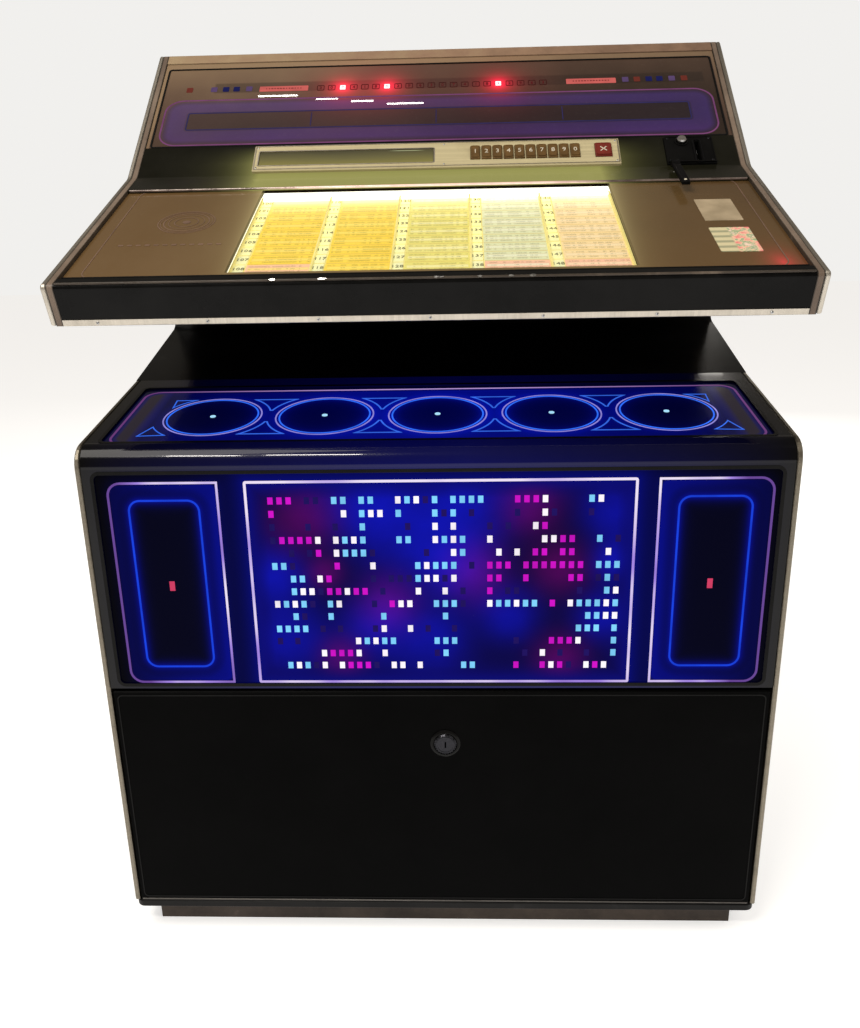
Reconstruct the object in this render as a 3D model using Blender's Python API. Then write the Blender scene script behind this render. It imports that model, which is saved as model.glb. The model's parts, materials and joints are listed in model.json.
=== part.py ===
"""Coin-operated jukebox in metres, +Z up, front towards -Y.

The origin is on the floor, under the middle of the bounding box. Depths along Y are given as
distances behind the cabinet's flat front face, and back_of_face() turns them into world Y.
"""

import math

import bmesh
import bpy
from mathutils import Matrix, Vector

# ---------------------------------------------------------------- driving dimensions
WIDTH = 0.860
GAP = 0.0003
FACE_Y = -0.2767
HALF = WIDTH / 2

# Cabinet profile: (distance behind the front face, height)
PLINTH_HEIGHT = 0.0387
FLOOR_BOTTOM = 0.039
FLOOR_TOP = 0.050
DOOR_BOTTOM = 0.0520
DOOR_TOP = 0.3790
FACE_BOTTOM = 0.3835
KNEE = (0.0, 0.6991)
KNEE_RADIUS = 0.0275
SHELF_END = (0.243, 0.742)
NECK_FOOT = (0.4545, 0.7946)
CABINET_TOP = 0.7913
REAR = 0.572

# Lid profile
FASCIA_BOTTOM = (-0.006, 0.846)
FASCIA_TOP = (-0.023, 0.892)
HOOD_FOOT = (0.301, 1.015)
HOOD_HEAD = (0.514, 1.201)
LID_TOP_REAR = (REAR, 1.196)
PAN_REAR = (0.4545, 0.862)
LID_AXIS = (0.5715, 0.7950)
LID_BOTTOM = 0.7925

# Door lock: across, and above the floor
LOCK = (0.009, 0.303)

# Board and sheet thicknesses across the width
TRIM_INNER = 0.4238
CHEEK_OUTER = 0.4235
CHEEK_INNER = 0.4155
BOARD_INNER = 0.4060
SHEET_HALF = 0.4225
BAND = 0.018

# Keypad, on the hood's slope
KEY_PITCH = 0.0153
KEY_WIDTH = 0.0132
KEY_HEIGHT = 0.0275
KEY_FIRST_X = 0.0554
KEY_ROW = 0.0300
RESET_X = 0.2318
RESET_WIDTH = 0.0230
BAR_HALF = 0.2545
BAR_LOW = 0.0025
BAR_HIGH = 0.0555
BAR_THICK = 0.0060
PANEL_THICK = 0.0060
PANEL_HIGH = 0.0635

# Coin block, on the hood's slope
COIN_X = (0.3175, 0.3845)
COIN_S = (0.0030, 0.0595)
COIN_SLOT_X = 0.3615
COIN_SLOT = (0.0060, 0.0060, 0.0480)
COIN_BUTTON = (0.3410, 0.0485)
COIN_BUTTON_RADIUS = 0.0065
LEVER_X = 0.3240

# Record mechanism
MECH_DEPTH = 0.312
RECORD_Z = 0.5345
MAGAZINE_X = -0.150
MAGAZINE_RADIUS = 0.225
MAGAZINE_SLOTS = 50
RECORD_ORBIT = 0.1325
GRIPPER_X = 0.1175
GRIPPER_Z = 0.445
TURNTABLE_X = 2 * GRIPPER_X - (MAGAZINE_X + RECORD_ORBIT)
TURNTABLE_RADIUS = 0.065
DRIVE_RADIUS = 0.016
DRIVE_ANGLE = math.radians(-50)
TONEARM = (0.372, 0.470)
CHASSIS_TOP = 0.431

# Rear transport wheels
WHEEL_RADIUS = 0.017
WHEEL_DEPTH = 0.505
WHEEL_Z = 0.019
WHEEL_X = (0.292, 0.312)

ROUND = 32
PANE_RADIUS = 0.006


# ---------------------------------------------------------------- small tools
def back_of_face(distance):
    return FACE_Y + distance


def to_world(point):
    """(distance behind the face, height) to a world (y, z)."""
    return (back_of_face(point[0]), point[1])


def slope_frame(start, end):
    """A frame at start whose X is world X, whose Y runs to end, and whose Z points out."""
    (y, z) = to_world(start)
    angle = math.atan2(end[1] - start[1], end[0] - start[0])
    return Matrix.Translation((0, y, z)) @ Matrix.Rotation(angle, 4, "X")


DESK = slope_frame(FASCIA_TOP, HOOD_FOOT)
HOOD = slope_frame(HOOD_FOOT, HOOD_HEAD)
SHELF = slope_frame(KNEE, SHELF_END)
HOOD_LENGTH = math.dist(HOOD_FOOT, HOOD_HEAD)
SHELF_LENGTH = math.dist(KNEE, SHELF_END)


def on_slope(frame, along, out=0.0):
    """A point of a slope, as (distance behind the face, height)."""
    point = frame @ Vector((0, along, out))
    return (point.y - FACE_Y, point.z)


def fillet(points, radii, steps=6, closed=True):
    """The outline with an arc at each corner whose radius isn't 0."""
    result = []
    count = len(points)
    for i, point in enumerate(points):
        radius = radii.get(i, 0) if isinstance(radii, dict) else radii
        corner = Vector(point)
        if not radius or (not closed and i in (0, count - 1)):
            result.append(tuple(corner))
            continue
        before = (Vector(points[i - 1]) - corner).normalized()
        after = (Vector(points[(i + 1) % count]) - corner).normalized()
        half = before.angle(after) / 2
        reach = radius / math.tan(half)
        middle = corner + (before + after).normalized() * radius / math.sin(half)
        start = corner + before * reach - middle
        end = corner + after * reach - middle
        first = math.atan2(start.y, start.x)
        sweep = (math.atan2(end.y, end.x) - first + math.pi) % (2 * math.pi) - math.pi
        for step in range(steps + 1):
            angle = first + sweep * step / steps
            result.append((middle.x + radius * math.cos(angle), middle.y + radius * math.sin(angle)))
    return result


def shifted(path, distance):
    """An open path moved sideways, to the right of its direction, with mitred corners."""
    moved = []
    for i, point in enumerate(path):
        here = Vector(point)
        normals = []
        for a, b in ((i - 1, i), (i, i + 1)):
            if a < 0 or b >= len(path):
                continue
            along = (Vector(path[b]) - Vector(path[a])).normalized()
            normals.append(Vector((along.y, -along.x)))
        mean = sum(normals, Vector((0, 0))).normalized()
        moved.append(tuple(here + mean * distance / mean.dot(normals[0])))
    return moved


def band(path, thickness, outer_radii, inner_radii):
    """The closed outline of a strip whose outer side is the path, with its own radii on each side."""
    inner = shifted(path, thickness)
    return fillet(path, outer_radii, closed=False) + fillet(inner, inner_radii, closed=False)[::-1]


def material(name, colour, roughness, metallic=0.0):
    made = bpy.data.materials.new(name)
    made.use_nodes = True
    shader = made.node_tree.nodes["Principled BSDF"]
    shader.inputs["Base Color"].default_value = (*colour, 1)
    shader.inputs["Roughness"].default_value = roughness
    shader.inputs["Metallic"].default_value = metallic
    return made


def new_object(name, mesh_maker, paint, frame=None, origin=None):
    """An object from a bmesh; origin moves its own origin there and leaves the shape in place."""
    bmesh.ops.recalc_face_normals(mesh_maker, faces=mesh_maker.faces)
    mesh = bpy.data.meshes.new(name)
    mesh_maker.to_mesh(mesh)
    mesh_maker.free()
    thing = bpy.data.objects.new(name, mesh)
    bpy.context.scene.collection.objects.link(thing)
    if paint:
        mesh.materials.append(paint)
    if origin:
        mesh.transform(Matrix.Translation(-Vector(origin)))
        thing.location = origin
    if frame:
        thing.matrix_world = frame
    mesh.shade_smooth()
    mesh.set_sharp_from_angle(angle=math.radians(35))
    return thing


def helper(thing):
    """A tool of a Boolean: it is no part of the object."""
    thing.hide_render = True
    thing.display_type = "WIRE"
    return thing


def combine(thing, tools, operation):
    for tool in tools:
        modifier = thing.modifiers.new(operation.title() + "_" + tool.name, "BOOLEAN")
        modifier.operation = operation
        modifier.object = helper(tool)
    return thing


def box_shape(low, high):
    maker = bmesh.new()
    bmesh.ops.create_cube(maker, size=1)
    low = Vector(low)
    high = Vector(high)
    middle = Matrix.Translation((low + high) / 2)
    bmesh.ops.transform(maker, matrix=middle @ Matrix.Diagonal((*(high - low), 1)), verts=maker.verts)
    return maker


def box(name, x, y, z, paint, **place):
    return new_object(name, box_shape((x[0], y[0], z[0]), (x[1], y[1], z[1])), paint, **place)


def extrusion(outline, axis, low, high):
    """A flat outline pushed along X, Y or Z. Its two numbers are the other axes in XYZ order."""
    maker = bmesh.new()
    order = {"X": (2, 0, 1), "Y": (0, 2, 1), "Z": (0, 1, 2)}[axis]
    corners = []
    for a, b in outline:
        values = (a, b, low)
        corners.append(maker.verts.new([values[i] for i in order]))
    face = maker.faces.new(corners)
    pushed = bmesh.ops.extrude_face_region(maker, geom=[face])
    travel = Vector([(0, 0, high - low)[i] for i in order])
    verts = [item for item in pushed["geom"] if isinstance(item, bmesh.types.BMVert)]
    bmesh.ops.translate(maker, verts=verts, vec=travel)
    return maker


def profile_piece(name, outline, x_low, x_high, paint, **place):
    """A piece whose side outline is in (distance behind the face, height)."""
    side = [to_world(point) for point in outline]
    return new_object(name, extrusion(side, "X", x_low, x_high), paint, **place)


def turned(profile, sides=ROUND, closed=False):
    """A (radius, height) profile spun round Z. A closed profile doesn't meet the axis."""
    maker = bmesh.new()
    points = [maker.verts.new((radius, 0, height)) for radius, height in profile]
    pairs = list(zip(points, points[1:]))
    if closed:
        pairs.append((points[-1], points[0]))
    edges = [maker.edges.new(pair) for pair in pairs]
    bmesh.ops.spin(
        maker, geom=points + edges, axis=(0, 0, 1), cent=(0, 0, 0), angle=2 * math.pi,
        steps=sides, use_merge=True,
    )
    bmesh.ops.remove_doubles(maker, verts=maker.verts, dist=1e-6)
    return maker


def rod(radius, low, high, sides=ROUND):
    return turned([(0, low), (radius, low), (radius, high), (0, high)], sides)


def tube(inner, outer, low, high, sides=ROUND):
    return turned([(inner, low), (outer, low), (outer, high), (inner, high)], sides, closed=True)


def pane(name, across, along, axis, depth, paint, **place):
    """A flat plate with rounded corners: its outline in the two other axes, its thickness in depth."""
    corners = [(across[0], along[0]), (across[1], along[0]), (across[1], along[1]), (across[0], along[1])]
    return new_object(name, extrusion(fillet(corners, PANE_RADIUS), axis, *depth), paint, **place)


def aim(direction, location):
    """A frame at location whose Z points along X, Y or Z."""
    turn = {
        "X": Matrix.Rotation(math.pi / 2, 4, "Y"),
        "Y": Matrix.Rotation(-math.pi / 2, 4, "X"),
        "Z": Matrix.Identity(4),
    }[direction]
    return Matrix.Translation(location) @ turn


def soften(thing, width, segments=2, angle=30):
    modifier = thing.modifiers.new("soft_edges", "BEVEL")
    modifier.width = width
    modifier.segments = segments
    modifier.limit_method = "ANGLE"
    modifier.angle_limit = math.radians(angle)
    return thing


def axis_empty(name, location):
    empty = bpy.data.objects.new(name, None)
    bpy.context.scene.collection.objects.link(empty)
    empty.location = location
    return empty


def hang_on(empty, things):
    """Parent each thing to the empty without moving it."""
    bpy.context.view_layer.update()
    for thing in things:
        thing.parent = empty
        thing.matrix_parent_inverse = empty.matrix_world.inverted()


# ---------------------------------------------------------------- materials
def make_materials():
    return {
        "black_laminate": material("black_laminate", (0.012, 0.011, 0.012), 0.35),
        "black_gloss": material("black_gloss", (0.008, 0.008, 0.010), 0.12),
        "black_satin": material("black_satin", (0.015, 0.015, 0.016), 0.45),
        "plinth_brown": material("plinth_brown", (0.055, 0.040, 0.033), 0.6),
        "aluminium": material("aluminium", (0.72, 0.68, 0.60), 0.35, 1.0),
        "champagne": material("champagne", (0.62, 0.56, 0.42), 0.40, 0.9),
        "steel": material("steel", (0.55, 0.55, 0.56), 0.35, 1.0),
        "chrome": material("chrome", (0.85, 0.85, 0.86), 0.12, 1.0),
        "smoked_glass": material("smoked_glass", (0.060, 0.052, 0.048), 0.05),
        "printed_glass": material("printed_glass", (0.010, 0.012, 0.050), 0.05),
        "title_plate": material("title_plate", (0.90, 0.80, 0.42), 0.55),
        "lamp_glass": material("lamp_glass", (0.95, 0.95, 0.88), 0.20),
        "key_brown": material("key_brown", (0.22, 0.14, 0.08), 0.40),
        "key_red": material("key_red", (0.35, 0.04, 0.04), 0.40),
        "board_wood": material("board_wood", (0.42, 0.30, 0.19), 0.70),
        "circuit_green": material("circuit_green", (0.03, 0.16, 0.07), 0.45),
        "cone_paper": material("cone_paper", (0.030, 0.028, 0.026), 0.85),
        "cast_metal": material("cast_metal", (0.30, 0.31, 0.32), 0.50, 0.8),
        "cream_plastic": material("cream_plastic", (0.66, 0.60, 0.46), 0.45),
        "rubber": material("rubber", (0.02, 0.02, 0.02), 0.75),
    }


# ---------------------------------------------------------------- cabinet
def knee_path(first_height, last):
    """The cabinet's outer front: up the face, round the knee, and along the shelf."""
    return fillet([(0, first_height), KNEE, last], {1: KNEE_RADIUS}, closed=False)


def make_cabinet(paint):
    made = []
    sheet = 0.0065
    board_front = 0.0148
    for side, sign in (("left", -1), ("right", 1)):
        covered = shifted(knee_path(FACE_BOTTOM, SHELF_END), sheet + GAP)
        deck = shifted([SHELF_END, NECK_FOOT], 0.0066)
        outline = [(board_front, FLOOR_TOP + GAP), (board_front, FACE_BOTTOM)]
        outline += [(covered[0][0], FACE_BOTTOM)] + covered[1:-1]
        outline += [deck[0], (deck[1][0], deck[1][1]), (NECK_FOOT[0] + 0.004, CABINET_TOP)]
        outline += [(REAR - 0.0003, CABINET_TOP), (REAR - 0.0003, FLOOR_TOP + GAP)]
        edges = sorted((sign * BOARD_INNER, sign * CHEEK_OUTER))
        made.append(profile_piece(f"side_board_{side}", outline, *edges, paint["black_laminate"]))

        path = [(0, FLOOR_TOP + GAP), KNEE, SHELF_END]
        outline = band(path, BAND, {1: KNEE_RADIUS}, {1: KNEE_RADIUS - BAND})
        edges = sorted((sign * TRIM_INNER, sign * HALF))
        trim = profile_piece(f"body_trim_{side}", outline, *edges, paint["aluminium"])
        made.append(soften(trim, 0.0015, 1, 50))

    y_back = (back_of_face(0.560), back_of_face(REAR - 0.0003))
    edge = BOARD_INNER - GAP
    made.append(box("back_board", (-edge, edge), y_back, (FLOOR_TOP + GAP, 0.7905), paint["board_wood"]))

    corner = 0.012
    front = back_of_face(0)
    rear = back_of_face(REAR)
    outline = fillet([(-HALF, front), (HALF, front), (HALF, rear), (-HALF, rear)], {0: corner, 1: corner})
    shape = extrusion(outline, "Z", FLOOR_BOTTOM, FLOOR_TOP)
    floor = new_object("floor_board", shape, paint["black_laminate"])
    made.append(soften(floor, 0.0015, 1, 60))

    out = 0.405
    inner = out - 0.015
    near = back_of_face(0.025)
    far = back_of_face(0.545)
    ring = [(-out, near), (out, near), (out, far), (inner, far), (inner, near + 0.015)]
    ring += [(-inner, near + 0.015), (-inner, far), (-out, far)]
    made.append(new_object("plinth", extrusion(ring, "Z", 0.0, PLINTH_HEIGHT), paint["plinth_brown"]))
    return made


def make_front(paint):
    """The moulded black sheet round the knee, its two printed glasses and the lamp board."""
    sheet = 0.0065
    path = [(0, FACE_BOTTOM), KNEE, on_slope(SHELF, SHELF_LENGTH - 0.0003)]
    outline = band(path, sheet, {1: KNEE_RADIUS}, {1: KNEE_RADIUS - sheet})
    moulding = profile_piece("front_moulding", outline, -SHEET_HALF, SHEET_HALF, paint["black_gloss"])
    window = pane("face_window", (-0.408, 0.408), (0.3910, 0.6690), "Y",
                  (back_of_face(-0.01), back_of_face(0.02)), None)
    recess = pane("shelf_window", (-0.4045, 0.4045), (0.0270, 0.2130), "Z", (-0.02, 0.01), None, frame=SHELF)
    combine(moulding, [window, recess], "DIFFERENCE")

    face = pane("front_glass", (-0.4075, 0.4075), (0.3915, 0.6685), "Y",
                (back_of_face(0.0015), back_of_face(0.0055)), paint["printed_glass"])
    deck = pane("shelf_glass", (-0.4040, 0.4040), (0.0275, 0.2125), "Z", (-0.0060, -0.0020),
                paint["printed_glass"], frame=SHELF)
    y_board = (back_of_face(0.0300), back_of_face(0.0340))
    board = box("light_board", (-0.2320, 0.2320), y_board, (0.3960, 0.6620), paint["circuit_green"])
    return [moulding, face, deck, board]


def make_door(paint):
    """The drop-down lower door, hinged along its bottom edge, and its turning lock."""
    axis = (0, back_of_face(0.004), DOOR_BOTTOM + 0.0055)
    door = box("lower_door", (-0.4215, 0.4215), (back_of_face(0), back_of_face(0.014)),
               (DOOR_BOTTOM, DOOR_TOP), paint["black_satin"], origin=axis)
    soften(door, 0.0015, 1)
    lock_at = (LOCK[0], back_of_face(0), LOCK[1])
    hole = new_object("lock_hole", rod(0.0150, -0.02, 0.03), None, frame=aim("Y", lock_at))
    combine(door, [hole], "DIFFERENCE")

    face = [(0, -0.0045), (0.0125, -0.0045), (0.0145, -0.0025), (0.0145, 0.0180), (0.006, 0.0180),
            (0.006, 0.0240), (0, 0.0240)]
    lock = new_object("door_lock", turned(face), paint["chrome"], frame=aim("Y", lock_at))
    cam = box("lock_cam", (LOCK[0] - 0.092, LOCK[0] + 0.010), (back_of_face(0.0185), back_of_face(0.0215)),
              (LOCK[1] - 0.008, LOCK[1] + 0.008), None)
    combine(lock, [cam], "UNION")
    keyway = box("lock_keyway", (LOCK[0] - 0.0010, LOCK[0] + 0.0010),
                 (back_of_face(-0.01), back_of_face(0.006)), (LOCK[1] - 0.0045, LOCK[1] + 0.0045), None)
    combine(lock, [keyway], "DIFFERENCE")
    pivot = axis_empty("door_axis", axis)
    hang_on(pivot, [door, lock])


def make_sound(paint):
    """Baffle, two woofers and the amplifier, in the bottom of the cabinet."""
    baffle_y = (back_of_face(0.035), back_of_face(0.050))
    edge = BOARD_INNER - GAP
    baffle = box("speaker_baffle", (-edge, edge), baffle_y, (FLOOR_TOP + GAP, 0.3800), paint["board_wood"])
    cone = [(0, 0.020), (0.012, 0.018), (0.026, 0.030), (0.098, 0.004), (0.106, -0.003), (0.110, 0.001),
            (0.114, 0), (0.127, 0), (0.127, 0.005), (0.112, 0.008), (0.060, 0.062), (0.056, 0.062),
            (0.056, 0.095), (0, 0.095)]
    holes = []
    for side, x in (("left", -0.200), ("right", 0.200)):
        middle = (x, back_of_face(0.0503), 0.226)
        holes.append(new_object(f"hole_{side}", rod(0.1115, -0.05, 0.05), None, frame=aim("Y", middle)))
        new_object(f"woofer_{side}", turned(cone), paint["cone_paper"], frame=aim("Y", middle))
    combine(baffle, holes, "DIFFERENCE")

    low_x, high_x = -0.360, -0.060
    base = FLOOR_TOP + GAP
    fin_root, fin_tip = base + 0.088, base + 0.120
    fins = [(low_x, base), (high_x, base), (high_x, fin_root)]
    fin_pitch = 0.012
    for i in range(24, -1, -1):
        left = low_x + i * fin_pitch
        fins += [(left + 0.003, fin_tip), (left, fin_tip), (left, fin_root), (left - 0.009, fin_root)]
    fins = fins[:-1]
    outline = extrusion(fins, "Y", back_of_face(0.370), back_of_face(0.540))
    new_object("amplifier", outline, paint["cast_metal"])

    walls = (0.100, 0.300)
    deep = (back_of_face(0.380), back_of_face(0.540))
    cash = box("cash_box", walls, deep, (base, 0.175), paint["steel"])
    inside = box("cash_box_inside", (walls[0] + 0.003, walls[1] - 0.003), (deep[0] + 0.003, deep[1] - 0.003),
                 (base + 0.003, 0.2), None)
    combine(cash, [inside], "DIFFERENCE")


def make_wheels(paint):
    """Two wheels on one axle behind the plinth, just clear of the floor until the cabinet is tipped."""
    y = back_of_face(WHEEL_DEPTH)
    across = aim("X", (0, y, WHEEL_Z))
    axle = new_object("wheel_axle", rod(0.004, -0.322, 0.322, 16), paint["steel"], frame=across)
    ears = []
    for side, sign in (("left", -1), ("right", 1)):
        for inner, outer in ((0.284, 0.288), (0.316, 0.320)):
            edges = sorted((sign * inner, sign * outer))
            ears.append(box(f"ear_{side}_{inner}", edges, (y - 0.012, y + 0.012),
                            (WHEEL_Z - 0.010, PLINTH_HEIGHT), None))
        shoulder = WHEEL_RADIUS - 0.0025
        rim = [(0.0048, WHEEL_X[0]), (shoulder, WHEEL_X[0]), (WHEEL_RADIUS, WHEEL_X[0] + 0.0025),
               (WHEEL_RADIUS, WHEEL_X[1] - 0.0025), (shoulder, WHEEL_X[1]), (0.0048, WHEEL_X[1])]
        shape = turned([(radius, sign * along) for radius, along in rim], closed=True)
        new_object(f"wheel_{side}", shape, paint["rubber"], frame=aim("X", (0, y, WHEEL_Z)))
    combine(axle, ears, "UNION")


# ---------------------------------------------------------------- record mechanism
def make_mechanism(paint):
    edge = BOARD_INNER - GAP
    middle = back_of_face(MECH_DEPTH)
    deck = box("mechanism_chassis", (-edge, edge), (back_of_face(0.060), back_of_face(0.555)),
               (CHASSIS_TOP - 0.006, CHASSIS_TOP), paint["cast_metal"])
    low = CHASSIS_TOP - 0.003
    boss_top = CHASSIS_TOP + 0.003
    boss = [(0, low), (0.034, low), (0.034, boss_top), (0.006, boss_top), (0.006, 0.470), (0, 0.470)]
    additions = [
        new_object("magazine_boss", turned(boss), None, frame=aim("Z", (MAGAZINE_X, middle, 0))),
        box("gripper_post", (GRIPPER_X - 0.012, GRIPPER_X + 0.012), (middle + 0.0208, middle + 0.0320),
            (low, GRIPPER_Z + 0.013), None),
        new_object("gripper_pin", rod(0.0040, -0.012, 0.027, 16), None,
                   frame=aim("Y", (GRIPPER_X, middle, GRIPPER_Z))),
        box("turntable_post", (TURNTABLE_X - 0.018, TURNTABLE_X + 0.018), (middle + 0.0300, middle + 0.0600),
            (low, RECORD_Z + 0.020), None),
        box("tonearm_post", (TONEARM[0] - 0.010, TONEARM[0] + 0.010), (middle - 0.040, middle - 0.028),
            (low, TONEARM[1] + 0.010), None),
        new_object("tonearm_pin", rod(0.0030, -0.033, -0.006, 16), None,
                   frame=aim("Y", (TONEARM[0], middle, TONEARM[1]))),
    ]
    combine(deck, additions, "UNION")
    bore = new_object("turntable_bore", rod(0.0062, 0.02, 0.08, 16), None,
                      frame=aim("Y", (TURNTABLE_X, middle, RECORD_Z)))
    combine(deck, [bore], "DIFFERENCE")

    make_magazine(paint, middle)
    make_turntable(paint, middle)
    make_arms(paint, middle)


def make_magazine(paint, middle):
    """The carousel: a thick disc with one radial slot for each record, on a hub."""
    pitch = 2 * math.pi / MAGAZINE_SLOTS
    floor_radius = 0.100
    half_slot = 0.0016
    outline = []
    for i in range(MAGAZINE_SLOTS):
        angle = pitch * i
        walls = ((MAGAZINE_RADIUS, -1), (floor_radius, -1), (floor_radius, 1), (MAGAZINE_RADIUS, 1))
        for radius, side in walls:
            turn = angle + side * math.asin(half_slot / radius)
            outline.append((radius * math.cos(turn), radius * math.sin(turn)))
    where = (MAGAZINE_X, middle, 0)
    wheel = new_object("record_magazine", extrusion(outline, "Z", 0.4405, 0.4525), paint["cream_plastic"],
                       frame=aim("Z", where))
    hub = new_object("magazine_hub", rod(0.030, CHASSIS_TOP + 0.0035, 0.4620), None, frame=aim("Z", where))
    combine(wheel, [hub], "UNION")
    bore = new_object("magazine_bore", rod(0.0070, 0.42, 0.48, 16), None, frame=aim("Z", where))
    combine(wheel, [bore], "DIFFERENCE")


def make_turntable(paint, middle):
    """The upright flywheel that the record is clamped to, its drive wheel and the motor."""
    where = (TURNTABLE_X, middle, RECORD_Z)
    profile = [(0, -0.0060), (0.016, -0.0060), (0.019, -0.0040), (0.019, 0.0045), (0.058, 0.0045),
               (TURNTABLE_RADIUS, 0.0065), (TURNTABLE_RADIUS, 0.0165), (0.020, 0.0165), (0.018, 0.0240),
               (0.0050, 0.0240), (0.0050, 0.0640), (0, 0.0640)]
    new_object("turntable", turned(profile), paint["cast_metal"], frame=aim("Y", where))
    reach = TURNTABLE_RADIUS + DRIVE_RADIUS + 0.0005
    drive_at = (TURNTABLE_X + reach * math.cos(DRIVE_ANGLE), middle, RECORD_Z + reach * math.sin(DRIVE_ANGLE))
    new_object("drive_wheel", tube(0.0036, DRIVE_RADIUS, 0.0070, 0.0160), paint["rubber"],
               frame=aim("Y", drive_at))
    can = [(0, 0.0050), (0.0030, 0.0050), (0.0030, 0.0200), (0.012, 0.0200), (0.012, 0.0220),
           (0.028, 0.0240), (0.028, 0.0800), (0, 0.0800)]
    motor = new_object("turntable_motor", turned(can), paint["steel"], frame=aim("Y", drive_at))
    foot = box("motor_foot", (drive_at[0] - 0.022, drive_at[0] + 0.022), (middle + 0.030, middle + 0.074),
               (CHASSIS_TOP + GAP, drive_at[2]), None)
    combine(motor, [foot], "UNION")


def make_arms(paint, middle):
    """The gripper arm, upright at rest, and the tone arm, parked outside the record's edge."""
    pivot = Vector((GRIPPER_X, middle, GRIPPER_Z))
    reach = 0.0735
    shape = tube(0.0048, 0.0110, -0.0040, 0.0200)
    boss = new_object("gripper_arm", shape, paint["steel"], frame=aim("Y", pivot))
    stem = box("gripper_stem", (pivot.x - 0.005, pivot.x + 0.005), (middle - 0.0036, middle + 0.0036),
               (pivot.z + 0.009, pivot.z + reach), None)
    head = box("gripper_head", (pivot.x - 0.012, pivot.x + 0.012), (middle - 0.0036, middle + 0.0036),
               (pivot.z + reach - 0.004, pivot.z + reach + 0.010), None)
    combine(boss, [stem, head], "UNION")
    jaw = box("gripper_jaw", (pivot.x - 0.03, pivot.x + 0.03), (middle - 0.0016, middle + 0.0016),
              (pivot.z + reach, pivot.z + reach + 0.03), None)
    combine(boss, [jaw], "DIFFERENCE")

    x, z = TONEARM
    arm = new_object("tonearm", tube(0.0038, 0.0100, -0.0270, -0.0080), paint["aluminium"],
                     frame=aim("Y", (x, middle, z)))
    tube_part = box("tonearm_tube", (x - 0.003, x + 0.003), (middle - 0.0170, middle - 0.0110),
                    (z + 0.008, z + 0.110), None)
    shell = box("tonearm_shell", (x - 0.008, x + 0.008), (middle - 0.0180, middle - 0.0070),
                (z + 0.106, z + 0.138), None)
    weight = box("tonearm_weight", (x - 0.011, x + 0.011), (middle - 0.0250, middle - 0.0070),
                 (z - 0.034, z - 0.008), None)
    combine(arm, [tube_part, shell, weight], "UNION")


# ---------------------------------------------------------------- lid
def make_lid_shell(paint):
    """Cheeks, edge trims, back, top cap, hood glass, desk glass, fascia, pan and neck cover."""
    made = []
    corners = [FASCIA_BOTTOM, FASCIA_TOP, HOOD_FOOT, HOOD_HEAD, LID_TOP_REAR]
    radii = {1: 0.006, 2: 0.030, 3: 0.006}
    top_path = fillet(corners, radii, closed=False)
    trim_outline = band(corners, BAND, radii, {2: 0.030 + BAND})
    lower = [(REAR - 0.0003, 0.7995), (0.5665, LID_BOTTOM), (0.4613, LID_BOTTOM), (0.4613, PAN_REAR[1])]
    for side, sign in (("left", -1), ("right", 1)):
        edges = sorted((sign * CHEEK_INNER, sign * CHEEK_OUTER))
        made.append(profile_piece(f"lid_cheek_{side}", top_path + lower, *edges, paint["black_laminate"]))
        edges = sorted((sign * TRIM_INNER, sign * HALF))
        trim = profile_piece(f"lid_trim_{side}", trim_outline, *edges, paint["aluminium"])
        made.append(soften(trim, 0.0015, 1, 50))
    inner = CHEEK_INNER - 0.0005
    across = (-inner, inner)
    y_back = (back_of_face(0.560), back_of_face(REAR - 0.0003))
    made.append(box("lid_back", across, y_back, (0.7995, 1.1875), paint["black_satin"]))

    head = HOOD_LENGTH - 0.0205
    cap = [on_slope(HOOD, head, 0), HOOD_HEAD, LID_TOP_REAR, (REAR, 1.1880), (0.5180, 1.1900),
           on_slope(HOOD, head, -0.0080)]
    made.append(profile_piece("top_cap", fillet(cap, {1: 0.005}), *across, paint["smoked_glass"]))
    made.append(box("hood_glass", across, (PANEL_HIGH + 0.0005, head - 0.0005), (-0.0065, -0.0015),
                    paint["smoked_glass"], frame=HOOD))
    made.append(box("desk_glass", across, (0.0180, 0.3250), (-0.0095, -0.0045),
                    paint["smoked_glass"], frame=DESK))

    slant = (FASCIA_TOP[0] - FASCIA_BOTTOM[0]) / (FASCIA_TOP[1] - FASCIA_BOTTOM[1])
    split = 0.8532
    split_y = FASCIA_BOTTOM[0] + slant * (split - FASCIA_BOTTOM[1])
    fascia = [(split_y, split), FASCIA_TOP, on_slope(DESK, 0.0175), on_slope(DESK, 0.0175, -0.0120),
              (0.0020, split)]
    made.append(profile_piece("fascia", fillet(fascia, {1: 0.006}), *across, paint["black_gloss"]))
    strip = [(FASCIA_BOTTOM[0] - 0.0010, FASCIA_BOTTOM[1]), (split_y - 0.0010, split - GAP),
             (0.0020, split - GAP), (0.0020, FASCIA_BOTTOM[1])]
    made.append(profile_piece("fascia_strip", fillet(strip, {0: 0.0015}, 3), *across, paint["aluminium"]))

    rise = (PAN_REAR[1] - FASCIA_BOTTOM[1]) / (PAN_REAR[0] - FASCIA_BOTTOM[0])
    pan_low = FASCIA_BOTTOM[1] + rise * 0.009
    pan = [(0.0030, pan_low), (0.4540, PAN_REAR[1]), (0.4540, PAN_REAR[1] + 0.005), (0.0030, pan_low + 0.005)]
    made.append(profile_piece("desk_pan", pan, *across, paint["black_satin"]))

    path = [on_slope(SHELF, SHELF_LENGTH + 0.0003), NECK_FOOT, (NECK_FOOT[0], PAN_REAR[1] - 0.0003)]
    outline = band(path, 0.0060, {1: 0.022}, {1: 0.028})
    wide = HALF - 0.0005
    made.append(profile_piece("neck_cover", outline, -wide, wide, paint["black_gloss"]))
    return made


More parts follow.
